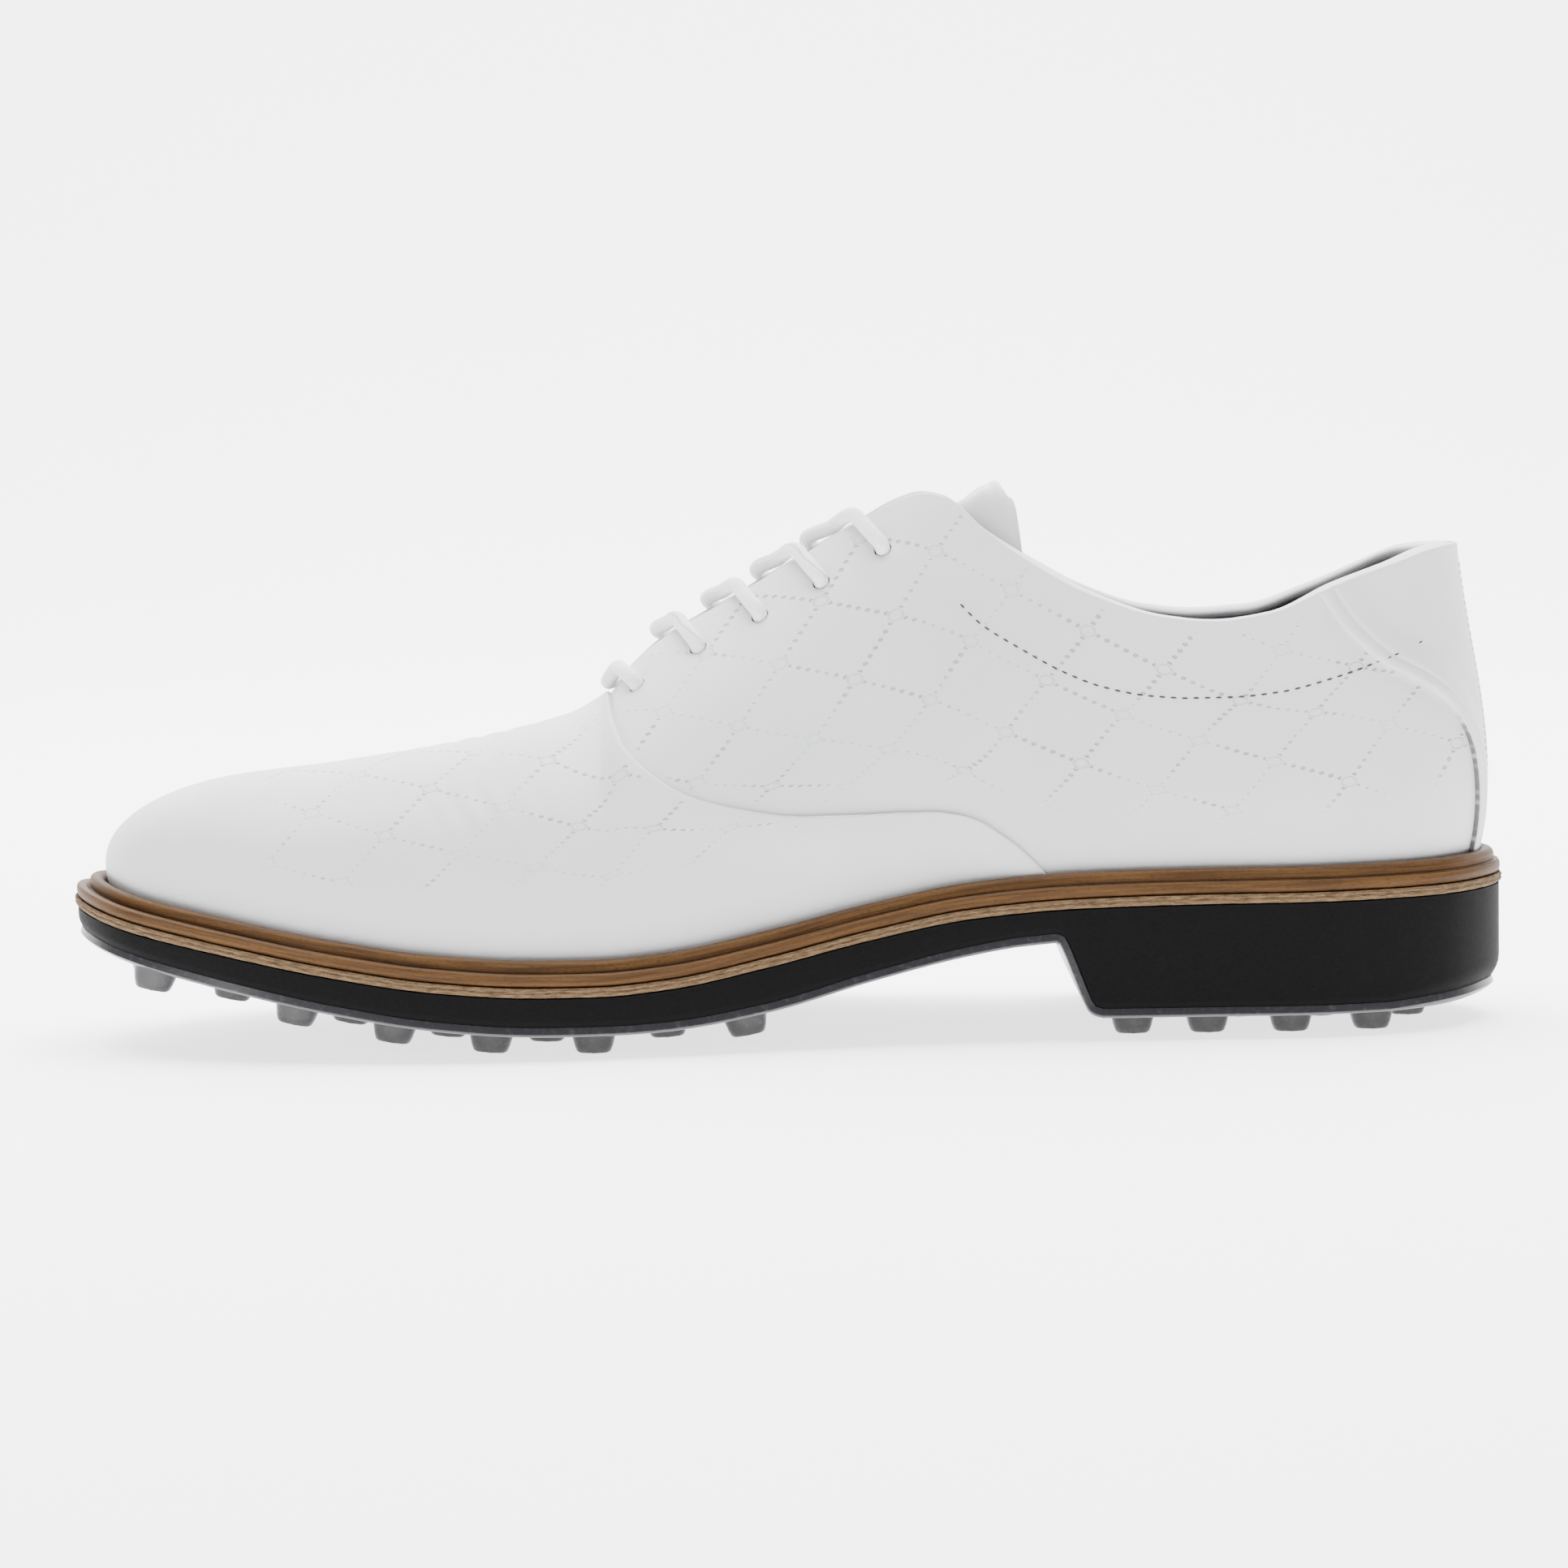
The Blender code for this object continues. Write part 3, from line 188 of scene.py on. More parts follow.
def waist_level(x):
    """The height of the sole's underside in front of the heel."""
    along = share(x)
    return (TREAD_LEVEL + TREAD_TOE_RISE * table(TOE_CURVE, along)
            + TREAD_WAIST_RISE * table(WAIST_CURVE, along))


def tread(down):
    """The underside, moved down by a depth: the waist, a rounded drop at the breast, the heel."""
    top_x, bottom_x = place(BREAST_TOP), place(BREAST_BOTTOM)
    high = float(waist_level(top_x))
    front = [place(a) for a in np.linspace(0.11, 0.67, 40)]
    breast = np.array(BREAST)
    corner = [(top_x + a * (bottom_x - top_x), TREAD_LEVEL + h * (high - TREAD_LEVEL))
              for a, h in zip(np.linspace(-0.36, 1.36, 25),
                              table(breast, np.linspace(-0.36, 1.36, 25)))]
    line = [(x, float(waist_level(x))) for x in front] + corner
    line = np.array(line + [(place(a), TREAD_LEVEL) for a in (0.76, 0.81, 0.86, 0.92)])
    slope = np.gradient(line, axis=0)
    normal = np.stack([slope[:, 1], -slope[:, 0]], axis=1)
    line += normal / np.linalg.norm(normal, axis=1)[:, None] * down

    def level(x):
        ahead = waist_level(x) - waist_level(line[0, 0]) + line[0, 1]
        return np.where(x < line[0, 0], ahead, np.interp(x, line[:, 0], line[:, 1]))

    return level


# %% [markdown]
# ## The last
# A shoemaker's last is the solid foot shape that the upper is pulled over. Here it is one
# formula of two numbers: `w` runs from toe to heel and `t` climbs from the feather line to the
# top. Every leather panel is a patch of this surface, so panels meet by themselves.


# %% The last's surface
def feather_sides():
    """Both sides of the feather line at the same x, by share of the inner side's run."""
    toe, heel = OUTLINE[:, 0].argmin(), OUTLINE[:, 0].argmax()
    order = np.roll(OUTLINE, -toe, axis=0)
    turn = (heel - toe) % len(OUTLINE)
    inner = order[: turn + 1]
    outer = np.concatenate([order[turn:], order[:1]])[::-1]
    run = chords(inner)
    far_y = np.interp(inner[:, 0], outer[:, 0], outer[:, 1])
    return run / run[-1], run[-1], {INNER: inner, OUTER: np.stack([inner[:, 0], far_y], axis=1)}


RUN, SIDE_LENGTH, SIDES = feather_sides()
INSTEP_RUN, COLLAR_DROP = INSTEP_TOP - THROAT_TOP, INSTEP_TOP - COLLAR_DIP
HEEL_RISE = HEEL_TOP - COLLAR_DIP
TOP_LINE = (
    (0.000, 39.0, 0.00, TOE_BOX_TOP),
    (0.086, 22.0, 0.00, TOE_BOX_TOP + 0.9),
    (0.172, 11.0, 0.00, TOE_BOX_TOP + 2.9),
    (0.258, 5.0, 0.00, TOE_BOX_TOP + 6.1),
    (0.325, 1.5, 0.00, TOE_BOX_TOP + 10.2),
    (0.360, 0.5, 0.00, THROAT_TOP),
    (0.382, 0.0, 0.09, THROAT_TOP + 0.17 * INSTEP_RUN),
    (0.404, 0.0, 0.11, THROAT_TOP + 0.30 * INSTEP_RUN),
    (0.456, 0.0, 0.14, THROAT_TOP + 0.50 * INSTEP_RUN),
    (0.552, 0.0, 0.20, THROAT_TOP + 0.87 * INSTEP_RUN),
    (0.578, 0.0, 0.22, THROAT_TOP + 0.965 * INSTEP_RUN),
    (0.597, 0.0, 0.25, INSTEP_TOP),
    (0.615, 0.0, 0.30, THROAT_TOP + 0.975 * INSTEP_RUN),
    (0.642, 0.0, 0.46, COLLAR_DIP + 0.70 * COLLAR_DROP),
    (0.676, 0.0, 0.63, COLLAR_DIP + 0.44 * COLLAR_DROP),
    (0.712, 0.0, 0.79, COLLAR_DIP + 0.225 * COLLAR_DROP),
    (0.764, 0.0, 0.91, COLLAR_DIP + 0.04 * COLLAR_DROP),
    (0.800, 0.0, 0.94, COLLAR_DIP),
    (0.842, -0.4, 0.95, COLLAR_DIP + 0.10 * HEEL_RISE),
    (0.892, -1.0, 0.94, COLLAR_DIP + 0.49 * HEEL_RISE),
    (0.935, -1.8, 0.92, COLLAR_DIP + 0.74 * HEEL_RISE),
    (0.978, -2.8, 0.90, COLLAR_DIP + 0.96 * HEEL_RISE),
    (1.000, -3.4, 0.89, HEEL_TOP),
)
MIDDLE = ((0.0, -8.0), (0.25, -4.0), (0.45, 0.0), (0.75, 1.5), (1.0, 0.0))
ARCH_END = ((0.0, 90.0), (0.28, 90.0), (0.36, 76.0), (0.42, 58.0), (0.50, 54.0), (1.0, 54.0))
WALL_BLEND = ((0.0, 0.0), (0.52, 0.0), (0.60, 0.25), (0.68, 0.75), (0.76, 1.0), (1.0, 1.0))
ARCH_POWER = 0.86
OUTER_DIP = 2.4


def last_surface(side, w, t):
    """Foot point + arch (a turned quarter circle) + swell (t(1-t)^2 along the normal)."""
    w, t = np.broadcast_arrays(np.asarray(w, float), np.asarray(t, float))
    line = SIDES[side]
    foot_x, foot_y = np.interp(w, RUN, line[:, 0]), np.interp(w, RUN, line[:, 1])
    along = share(foot_x)
    shift, keep, top_z = np.moveaxis(table(TOP_LINE, along), -1, 0)
    if side == OUTER:
        top_z = top_z - OUTER_DIP * np.exp(-((along - 0.89) / 0.05) ** 2)
    middle = table(MIDDLE, along)
    turn_end = np.radians(table(ARCH_END, along))
    turn = turn_end * t
    arch_in = (1 - np.cos(turn)) / (1 - np.cos(turn_end))
    arch_up = (np.sin(turn) / np.sin(turn_end)) ** ARCH_POWER
    wall = table(WALL_BLEND, along)
    inward = (1 - wall) * arch_in + wall * t ** 1.6
    upward = (1 - wall) * arch_up + wall * t
    step = 0.004
    ahead = [np.interp(w + step, RUN, line[:, i]) - np.interp(w - step, RUN, line[:, i])
             for i in (0, 1)]
    at_end = np.abs(w - 0.5) > 0.4999
    ahead_x = np.where(at_end, 0.0, ahead[0])
    ahead_y = np.where(at_end, side * (0.5 - w), ahead[1])
    length = np.hypot(ahead_x, ahead_y)
    bulge = SIDE_BULGE + (HEEL_BULGE - SIDE_BULGE) * np.clip((along - 0.8) / 0.2, 0, 1)
    swell = bulge * 6.75 * t * (1 - t) ** 2
    foot_z = welt_level(foot_x) + GAP
    x = foot_x + shift * inward - side * ahead_y / length * swell
    y = foot_y + (middle - foot_y) * (1 - keep) * inward + side * ahead_x / length * swell
    z = foot_z + (top_z - foot_z) * upward
    return np.stack([x, y, z], axis=-1)


def inside(side, w, t, depth):
    """A point below the last's surface by a depth; a negative depth is outside it."""
    step = 0.004
    w, t = np.clip(np.asarray(w, float), 0.012, 0.988), np.asarray(t, float)
    low, high = np.clip(t - step, 0.002, 0.99), np.clip(t + step, 0.012, 1.0)
    along = last_surface(side, w + step, t) - last_surface(side, w - step, t)
    up = last_surface(side, w, high) - last_surface(side, w, low)
    outward = np.cross(along, up) * -side
    outward /= np.linalg.norm(outward, axis=-1, keepdims=True)
    return last_surface(side, w, t) - outward * np.asarray(depth, float)[..., None]


def w_at(along):
    """The share of the feather line's run at which it reaches a place."""
    return np.interp(place(np.asarray(along, float)), SIDES[INNER][:, 0], RUN)


def t_at(w, height):
    """The t at which a wall line on the inner side has climbed a share of its height."""
    t = np.linspace(0, 1, 201)
    z = last_surface(INNER, np.full(201, float(w)), t)[:, 2]
    return float(np.interp(height, (z - z[0]) / (z[-1] - z[0]), t))


print("instep height:", round(float(last_surface(INNER, w_at(0.597), 1.0)[2]), 1), "mm")
# %% [markdown]
# ## Meshes from arrays
# A grid of points becomes quads by index arithmetic: no loop touches a vertex. A leather panel
# is two grids, its outer and inner faces, joined round the rim.


# %% Mesh helpers
def quads(rows, columns, offset=0, wrap=False):
    """Vertex numbers of the quads of a grid, row by row; wrap closes the columns."""
    index = np.arange(rows * columns).reshape(rows, columns) + offset
    if wrap:
        index = np.concatenate([index, index[:, :1]], axis=1)
    a, b, c, d = index[:-1, :-1], index[:-1, 1:], index[1:, 1:], index[1:, :-1]
    return np.stack([a, b, c, d], axis=-1).reshape(-1, 4)


def make(name, points, faces, replaces=(), body="shoe", slot=None, uv=None, marks=None,
         weld=0.0, crease=40.0):
    """Points in mm and quads into one closed piece at the origin, riding on a body."""
    mesh = bpy.data.meshes.new(name)
    mesh.from_pydata((points.reshape(-1, 3) * MM).tolist(), [], faces.tolist())
    if uv is not None:
        layer = mesh.uv_layers.new(name="flat")
        loops = np.empty(len(mesh.loops), np.int32)
        mesh.loops.foreach_get("vertex_index", loops)
        layer.data.foreach_set("uv", uv.reshape(-1, 2)[loops].astype(np.float32).ravel())
    for key, values in (marks or {}).items():
        mark = mesh.attributes.new(key, "FLOAT", "POINT")
        mark.data.foreach_set("value", np.asarray(values, np.float32).ravel())
    bm = bmesh.new()
    bm.from_mesh(mesh)
    if weld:
        bmesh.ops.remove_doubles(bm, verts=bm.verts, dist=weld * MM)
    bmesh.ops.dissolve_degenerate(bm, edges=bm.edges, dist=1e-7)
    bmesh.ops.recalc_face_normals(bm, faces=bm.faces)
    bm.to_mesh(mesh)
    bm.free()
    mesh.polygons.foreach_set("use_smooth", np.ones(len(mesh.polygons), bool))
    mesh.set_sharp_from_angle(angle=math.radians(crease))
    piece = bpy.data.objects.new(name, mesh)
    bpy.context.scene.collection.objects.link(piece)
    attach(piece, body)
    if replaces:
        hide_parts(*replaces)
    print(name, len(mesh.polygons), "faces")
    return piece


def shell(outer, inner, joined=False):
    """Two grids of the same shape as one closed solid: faces, back faces and a rim.

    Where the last row is folded onto itself and welded, it needs no rim.
    """
    rows, columns = outer.shape[:2]
    count = rows * columns
    index = np.arange(count).reshape(rows, columns)
    rim = np.concatenate([index[0], index[1:, -1], index[-1, -2::-1], index[-2:0:-1, 0]])
    after = np.roll(rim, -1)
    side = np.stack([rim, rim + count, after + count, after], axis=1)
    if joined:
        side = side[~((rim >= count - columns) & (after >= count - columns))]
    faces = np.concatenate([quads(rows, columns), quads(rows, columns, count)[:, ::-1], side])
    return np.stack([outer, inner]), faces


def surface_normals(grid, outward):
    """The unit normal of a grid, from its two gradients, turned to the side of `outward`."""
    down = np.gradient(grid, axis=0)
    across = np.gradient(grid, axis=1)
    normal = np.cross(across, down)
    length = np.linalg.norm(normal, axis=-1, keepdims=True)
    normal /= np.where(length > 1e-9, length, 1)
    turn = np.sign((normal * outward).sum(axis=-1).mean())
    return normal * (turn if turn else 1)


# %% [markdown]
# ## Leather panels
# The vamp laps over the quarters and the heel cover does too. A lap is a step of one leather
# thickness that dies away behind the edge, and the edge itself is folded, so it is round.
# Distances to a seam are measured on the unrolled last, and they shape both.

# %% Seams
VAMP_SEAM = (
    (0.684, 0.0), (0.674, 0.06), (0.635, 0.185), (0.581, 0.229), (0.533, 0.277), (0.480, 0.354),
    (0.417, 0.513), (0.390, 0.655), (0.378, 0.77), (0.370, 0.91), (0.366, 1.0),
)
HEEL_SEAM = (
    (0.0, 11.0), (0.15, 12.0), (0.35, 14.5), (0.50, 21.0), (0.60, 29.0), (0.70, 38.0),
    (0.85, 46.0), (1.0, 51.0),
)
WALL = 82.0
T_LINE = np.linspace(0, 1, 2001)
seam_w = np.array([float(w_at(along)) for along, _ in VAMP_SEAM])
seam_t = np.array([t_at(w, height) for w, (_, height) in zip(seam_w, VAMP_SEAM)])
VAMP_W = table(np.column_stack([seam_t, seam_w]), T_LINE)
HEEL_W = 1 - table(HEEL_SEAM, T_LINE) / SIDE_LENGTH


def seam_rows(seam, count):
    """Rows of t that are close where the seam runs level: half by length, half by height."""
    run = chords(np.column_stack([seam * SIDE_LENGTH, T_LINE * WALL]))
    return np.interp(np.linspace(0, 1, count), 0.5 * run / run[-1] + 0.5 * T_LINE, T_LINE)


def away(w, t, seam):
    """The distance in mm on the unrolled last from places to a seam."""
    line = np.column_stack([seam * SIDE_LENGTH, T_LINE * WALL])[::8]
    spots = np.stack([w * SIDE_LENGTH, t * WALL], axis=-1).reshape(-1, 2)
    found = np.empty(len(spots))
    for start in range(0, len(spots), 4000):
        part = spots[start:start + 4000]
        gap = part[:, None, :] - line[None, :, :]
        found[start:start + 4000] = np.sqrt((gap ** 2).sum(axis=-1)).min(axis=1)
    return found.reshape(np.shape(w))


def moved(seam, mm):
    """A seam moved sideways on the unrolled last, as w at each t."""
    line = np.column_stack([seam * SIDE_LENGTH, T_LINE * WALL])
    slope = np.gradient(line, axis=0)
    normal = np.stack([slope[:, 1], -slope[:, 0]], axis=1)
    normal /= np.linalg.norm(normal, axis=1)[:, None]
    line = line + normal * mm
    order = np.argsort(line[:, 1], kind="stable")
    return np.interp(T_LINE, line[order, 1], line[order, 0]) / SIDE_LENGTH


def folded(gap, radius):
    """How far the face drops towards a folded edge: a quarter circle of that radius."""
    f = np.clip(1 - gap / radius, 0, 1)
    return radius * (1 - np.sqrt(1 - f * f))


def crowd(count, power=2.2):
    """Shares from 0 to 1 that are closer together near 0."""
    return np.linspace(0, 1, count) ** power


LAP = 1.15
print("vamp seam:", round(float(chords(np.column_stack([VAMP_W * SIDE_LENGTH,
                                                        T_LINE * WALL]))[-1])), "mm")


# %% The vamp
def base_normals(grid):
    """Normals of a grid that spans both sides; at the ridge the two sides share one."""
    centre = np.array([0.0, 0.0, 20.0])
    normal = surface_normals(grid, grid - centre)
    top = normal[-1]
    shared = (top + top[::-1]) / 2
    shared /= np.linalg.norm(shared, axis=-1, keepdims=True)
    for row, part in ((-1, 1.0), (-2, 0.66), (-3, 0.33)):
        normal[row] = normal[row] * (1 - part) + shared * part
    return normal / np.linalg.norm(normal, axis=-1, keepdims=True)


def both_sides(first, last, columns, power=1.0):
    """w and side over one grid: the inner side from its edge to the toe, then the outer."""
    f = 1 - crowd(columns, power)
    w = first[:, None] + (last - first)[:, None] * f[None, :]
    return np.concatenate([w, w[:, -2::-1]], axis=1), columns


def vamp():
    rows = seam_rows(VAMP_W, 150)
    edge_w = np.interp(rows, T_LINE, VAMP_W)
    w, half = both_sides(np.zeros(len(rows)), edge_w, 150, 1.5)
    t = np.broadcast_to(rows[:, None], w.shape)
    grid = np.concatenate([last_surface(INNER, w[:, :half], t[:, :half]),
                           last_surface(OUTER, w[:, half:], t[:, half:])], axis=1)
    normal = base_normals(grid)
    gap = away(w, t, VAMP_W)
    lap = LAP * (1 - ease(gap, 1.5, 11.0))
    creases = vamp_creases(grid)
    outer = grid + normal * (lap - folded(gap, 0.6) + creases)[..., None]
    inner = grid + normal * (lap - 1.1)[..., None]
    for face in (outer, inner):
        face[-1] = (face[-1] + face[-1, ::-1]) / 2
    points, faces = shell(outer, inner, joined=True)
    uv = side_map(grid)
    return make("toe_vamp", points, faces, ("vamp",), slot="white_leather", weld=0.02,
                uv=np.stack([uv, uv]),
                marks={"punched": np.stack([vamp_punched(grid, t, gap)] * 2),
                       "seam_shade": np.zeros(2 * w.size)})


def run_up(grid):
    """The running length up each column of a grid, from its first row."""
    steps = np.linalg.norm(np.diff(grid, axis=0), axis=-1)
    return np.concatenate([np.zeros((1, grid.shape[1])), np.cumsum(steps, axis=0)])


def side_map(grid):
    """Flat coordinates of a side: the place along the shoe, and the length up the wall.

    The length is counted from the middle row, where it equals the height.
    """
    up, middle = run_up(grid), len(grid) // 2
    return np.stack([grid[..., 0], up - up[middle] + grid[middle, :, 2]], axis=-1)


def vamp_creases(grid):
    """Two soft wrinkles behind the toe box: shallow waves across the bend."""
    x, z = grid[..., 0], grid[..., 2]
    bend = np.exp(-((x + 66.0) / 11.0) ** 2) * ease(z, 40.0, 52.0) * (1 - ease(z, 62.0, 72.0))
    return 0.16 * bend * np.sin((x + 0.35 * z + 3.0 * np.sin(0.15 * grid[..., 1])) * 1.05)


def vamp_punched(grid, t, gap):
    """Where the vamp carries its dots: the back part above mid height, off the seams."""
    x = grid[..., 0]
    return ease(x, -112.0, -108.0) * ease(t, 0.19, 0.22) * ease(gap, 1.0, 2.0)


vamp()


# %% The quarters
EYELET_ROWS, EYELET_INSET = 5, 11.0
FIRST_EYELET = {INNER: 0.387, OUTER: 0.377}
EYELET_PITCH = {INNER: 13.1, OUTER: 11.1}


def eyelets(side):
    """The lace holes' places (w, t), from the throat up, a fixed way in from the edge."""
    found = []
    for row in range(EYELET_ROWS):
        w = float(w_at(FIRST_EYELET[side] + row * EYELET_PITCH[side] / LAST_LENGTH))
        t = np.linspace(1, 0.3, 141)
        wall = last_surface(side, np.full(141, w), t)
        found.append((w, float(np.interp(EYELET_INSET, chords(wall), t))))
    return found


def pulled_in(grid, side):
    """The dimple that the tight lace makes round each hole."""
    depth = np.zeros(grid.shape[:2])
    for w, t in eyelets(side):
        hole = last_surface(side, w, t)
        reach = np.linalg.norm(grid - hole, axis=-1)
        depth += 0.5 * np.exp(-(reach / 2.6) ** 2)
    return depth


def quarter(side, name, node):
    rows = seam_rows(VAMP_W, 170)
    top = 1 - crowd(18, 1.6) * 0.06
    rows = np.unique(np.concatenate([rows[rows < 0.94], top]))
    first = np.minimum(np.interp(rows, T_LINE, moved(VAMP_W, -6.0)),
                       np.interp(rows, T_LINE, VAMP_W) - 0.006)
    last = np.interp(rows, T_LINE, HEEL_W) + 6.0 / SIDE_LENGTH
    w = first[:, None] + (last - first)[:, None] * np.linspace(0, 1, 240)[None, :]
    t = np.broadcast_to(rows[:, None], w.shape)
    grid = last_surface(side, w, t)
    normal = surface_normals(grid, grid - np.array([0.0, 0.0, 40.0]))
    up = run_up(grid)
    gap = up[-1] - up
    ahead = w < np.interp(t, T_LINE, VAMP_W)
    lift = -folded(gap, 0.65) - pulled_in(grid, side)
    outer = grid + normal * lift[..., None]
    inner = grid - normal * SKIN
    points, faces = shell(outer, inner)
    uv = side_map(grid)
    punched = (ease(away(w, t, VAMP_W), 1.0, 2.0) * ease(gap, 2.5, 4.0)
               * ease(t, 0.20, 0.30))
    punched = np.where(ahead, 0, punched)
    piece = make(name, points, faces, (node,), slot="white_leather", uv=np.stack([uv, uv]),
                 marks={"punched": np.stack([punched] * 2), "seam_shade": np.zeros(2 * w.size)})
    punch_holes(piece, side)
    return piece


def punch_holes(piece, side):
    """Cuts the five lace holes with round punches."""
    bm = bmesh.new()
    for w, t in eyelets(side):
        outside, deep = (Vector(inside(side, w, t, d)) * MM for d in (-3.0, 3.2))
        turn = (deep - outside).normalized().to_track_quat("Z", "Y").to_matrix().to_4x4()
        bmesh.ops.create_cone(bm, cap_ends=True, segments=28, radius1=1.95 * MM,
                              radius2=1.95 * MM, depth=(deep - outside).length,
                              matrix=Matrix.Translation((deep + outside) / 2) @ turn)
    mesh = bpy.data.meshes.new("punches")
    bm.to_mesh(mesh)
    bm.free()
    punches = bpy.data.objects.new("punches", mesh)
    bpy.context.scene.collection.objects.link(punches)
    cut = piece.modifiers.new("holes", "BOOLEAN")
    cut.object, cut.operation, cut.solver = punches, "DIFFERENCE", "EXACT"
    bpy.context.view_layer.update()
    done = bpy.data.meshes.new_from_object(
        piece.evaluated_get(bpy.context.evaluated_depsgraph_get()))
    piece.modifiers.clear()
    piece.data = done
    bpy.data.objects.remove(punches)
    print(piece.name, "punched, now", len(done.polygons), "faces")


quarter(INNER, "side_inner", "quarter_medial")
quarter(OUTER, "side_outer", "quarter_lateral")


# %% The heel cover
def heel_cover():
    rows = np.unique(np.concatenate([np.linspace(0, 0.94, 90), 1 - crowd(14, 1.6) * 0.06]))
    edge_w = np.interp(rows, T_LINE, HEEL_W)
    w = 1 - (1 - edge_w)[:, None] * (1 - crowd(90, 1.7))[None, :]
    w = np.concatenate([w, w[:, -2::-1]], axis=1)
    half = 90
    t = np.broadcast_to(rows[:, None], w.shape)
    grid = np.concatenate([last_surface(INNER, w[:, :half], t[:, :half]),
                           last_surface(OUTER, w[:, half:], t[:, half:])], axis=1)
    normal = surface_normals(grid, grid - np.array([100.0, 0.0, 60.0]))
    gap = away(w, t, HEEL_W)
    up = run_up(grid)
    lap = LAP * (1 - ease(gap, 3.0, 10.0)) + 0.22 * np.exp(-((gap - 1.2) / 0.8) ** 2)
    lap -= 0.3 * np.exp(-((gap - 2.9) / 0.5) ** 2)
    outer = grid + normal * (lap - folded(gap, 0.55) - folded(up[-1] - up, 0.65))[..., None]
    inner = grid + normal * (LAP * (1 - ease(gap, 3.0, 10.0)) - 1.1)[..., None]
    points, faces = shell(outer, inner)
    uv = np.stack([w * SIDE_LENGTH, up], axis=-1)
    # Painted shade: a dark line along the heel cover's edge at its seam, on its lower part, where the
    # lap's rim is in shade.
    seam_shade = (1 - ease(gap, 0.12, 0.2)) * (1 - ease(t, 0.42, 0.5))
    return make("heel_wrap", points, faces, ("heel_cover",), slot="white_leather",
                uv=np.stack([uv, uv]),
                marks={"punched": np.zeros(2 * w.size), "seam_shade": np.stack([seam_shade, seam_shade])})


heel_cover()

# %% [markdown]
# ## Collar and lining
# The collar is a foam roll under the folded leather, so it is a tube with an oval section that
# follows the top line. The lining is a thin cloth skin inside everything.


# %% The lining
def lining_depth(w, t):
    grown = ease(w, w_at(0.62), w_at(0.70)) * ease(t, 0.50, 0.72)
    return LINING_DEPTH + COLLAR_EXTRA * grown


def inner_lining():
    rows = np.linspace(0, 1, 60)
    f = np.linspace(0, 1, 150)
    w = np.broadcast_to(f[None, :], (len(rows), len(f)))
    t = np.broadcast_to(rows[:, None], w.shape)
    both = []
    for side in (INNER, OUTER):
        depth = lining_depth(w, t)
        short = t * (0.995 - 0.035 * ease(w, w_at(0.60), w_at(0.66)))
        faces_out = inside(side, w, short, depth)
        faces_in = inside(side, w, short, depth + LINING)
        both.append((faces_out, faces_in))
    outer = np.concatenate([both[0][0][:, ::-1], both[1][0]], axis=1)
    inner = np.concatenate([both[0][1][:, ::-1], both[1][1]], axis=1)
    points, faces = shell(outer, inner)
    return make("sock_lining", points, faces, ("quarter_lining", "vamp_lining"),
                slot="black_lining", weld=0.05)


inner_lining()


# %% The collar's rolled edge
def collar_roll():
    """An oval tube along the top line: its centre sits half the padding's width inside."""
    first = float(w_at(0.618))
    w = np.concatenate([np.linspace(first, 1, 160), np.linspace(1, first, 160)[1:]])
    sides = np.concatenate([np.full(160, INNER), np.full(159, OUTER)])
    top, deep = (np.where((sides == INNER)[:, None],
                          inside(INNER, w, np.ones(len(w)), np.full(len(w), d)),
                          inside(OUTER, w, np.ones(len(w)), np.full(len(w), d)))
                 for d in (0.0, 1.0))
    width = lining_depth(w, np.ones(len(w))) + LINING
    inward = deep - top
    inward[:, 2] = 0
    inward /= np.linalg.norm(inward, axis=1)[:, None]
    smoothed = np.stack([np.convolve(np.pad(inward[:, i], 6, mode="edge"), np.ones(13) / 13,
                                     mode="valid") for i in range(3)], axis=1)
    inward = smoothed / np.linalg.norm(smoothed, axis=1)[:, None]
    fade = ease(np.minimum(np.arange(len(w)), np.arange(len(w))[::-1]), 0, 16)
    angle = np.linspace(0, 2 * math.pi, 25)[:-1]
    half = (width / 2 + 0.1)[:, None]
    centre = top + inward * (width / 2)[:, None] + np.array([0, 0, -1.5])
    ring = (centre[:, None, :] - inward[:, None, :] * (half * np.cos(angle))[..., None]
            + np.array([0, 0, 1.0]) * ((0.9 + 0.7 * fade)[:, None] * np.sin(angle))[..., None])
    faces = quads(*ring.shape[:2], wrap=True)
    count = ring.shape[1]
    ends = [list(range(count))[::-1],
            list(range((len(ring) - 1) * count, len(ring) * count))]
    mesh_faces = faces.tolist() + ends
    run = np.broadcast_to(chords(top)[:, None], ring.shape[:2])
    uv = np.stack([run, np.broadcast_to(angle * half, ring.shape[:2])], axis=-1)
    roll = make("collar_edge", ring, np.array(mesh_faces, dtype=object), ("collar_padding",),
                slot="white_leather", uv=uv,
                marks={"punched": np.zeros(ring.shape[:2]), "seam_shade": np.zeros(ring.shape[:2])})
    return roll


collar_roll()

# %% [markdown]
# ## The tongue
# A tongue is leather over foam, so it is one crowned pad. It hides under the vamp, runs under
# the lace and ends in a free tip. A few rows are worked out under the walls of the last, and a
# cubic in both directions fills the fine grid.

# %% Tongue
TONGUE_SLOPE = math.radians(30.0)
TONGUE_ROOT, TONGUE_LEAVES, TONGUE_END, TONGUE_HALF = 0.285, 0.56, 32.0, 18.0
LINING_INSIDE = LINING_DEPTH + LINING
ACROSS = np.array([-1.0, -0.86, -0.68, -0.48, -0.28, 0.0, 0.28, 0.48, 0.68, 0.86, 1.0])


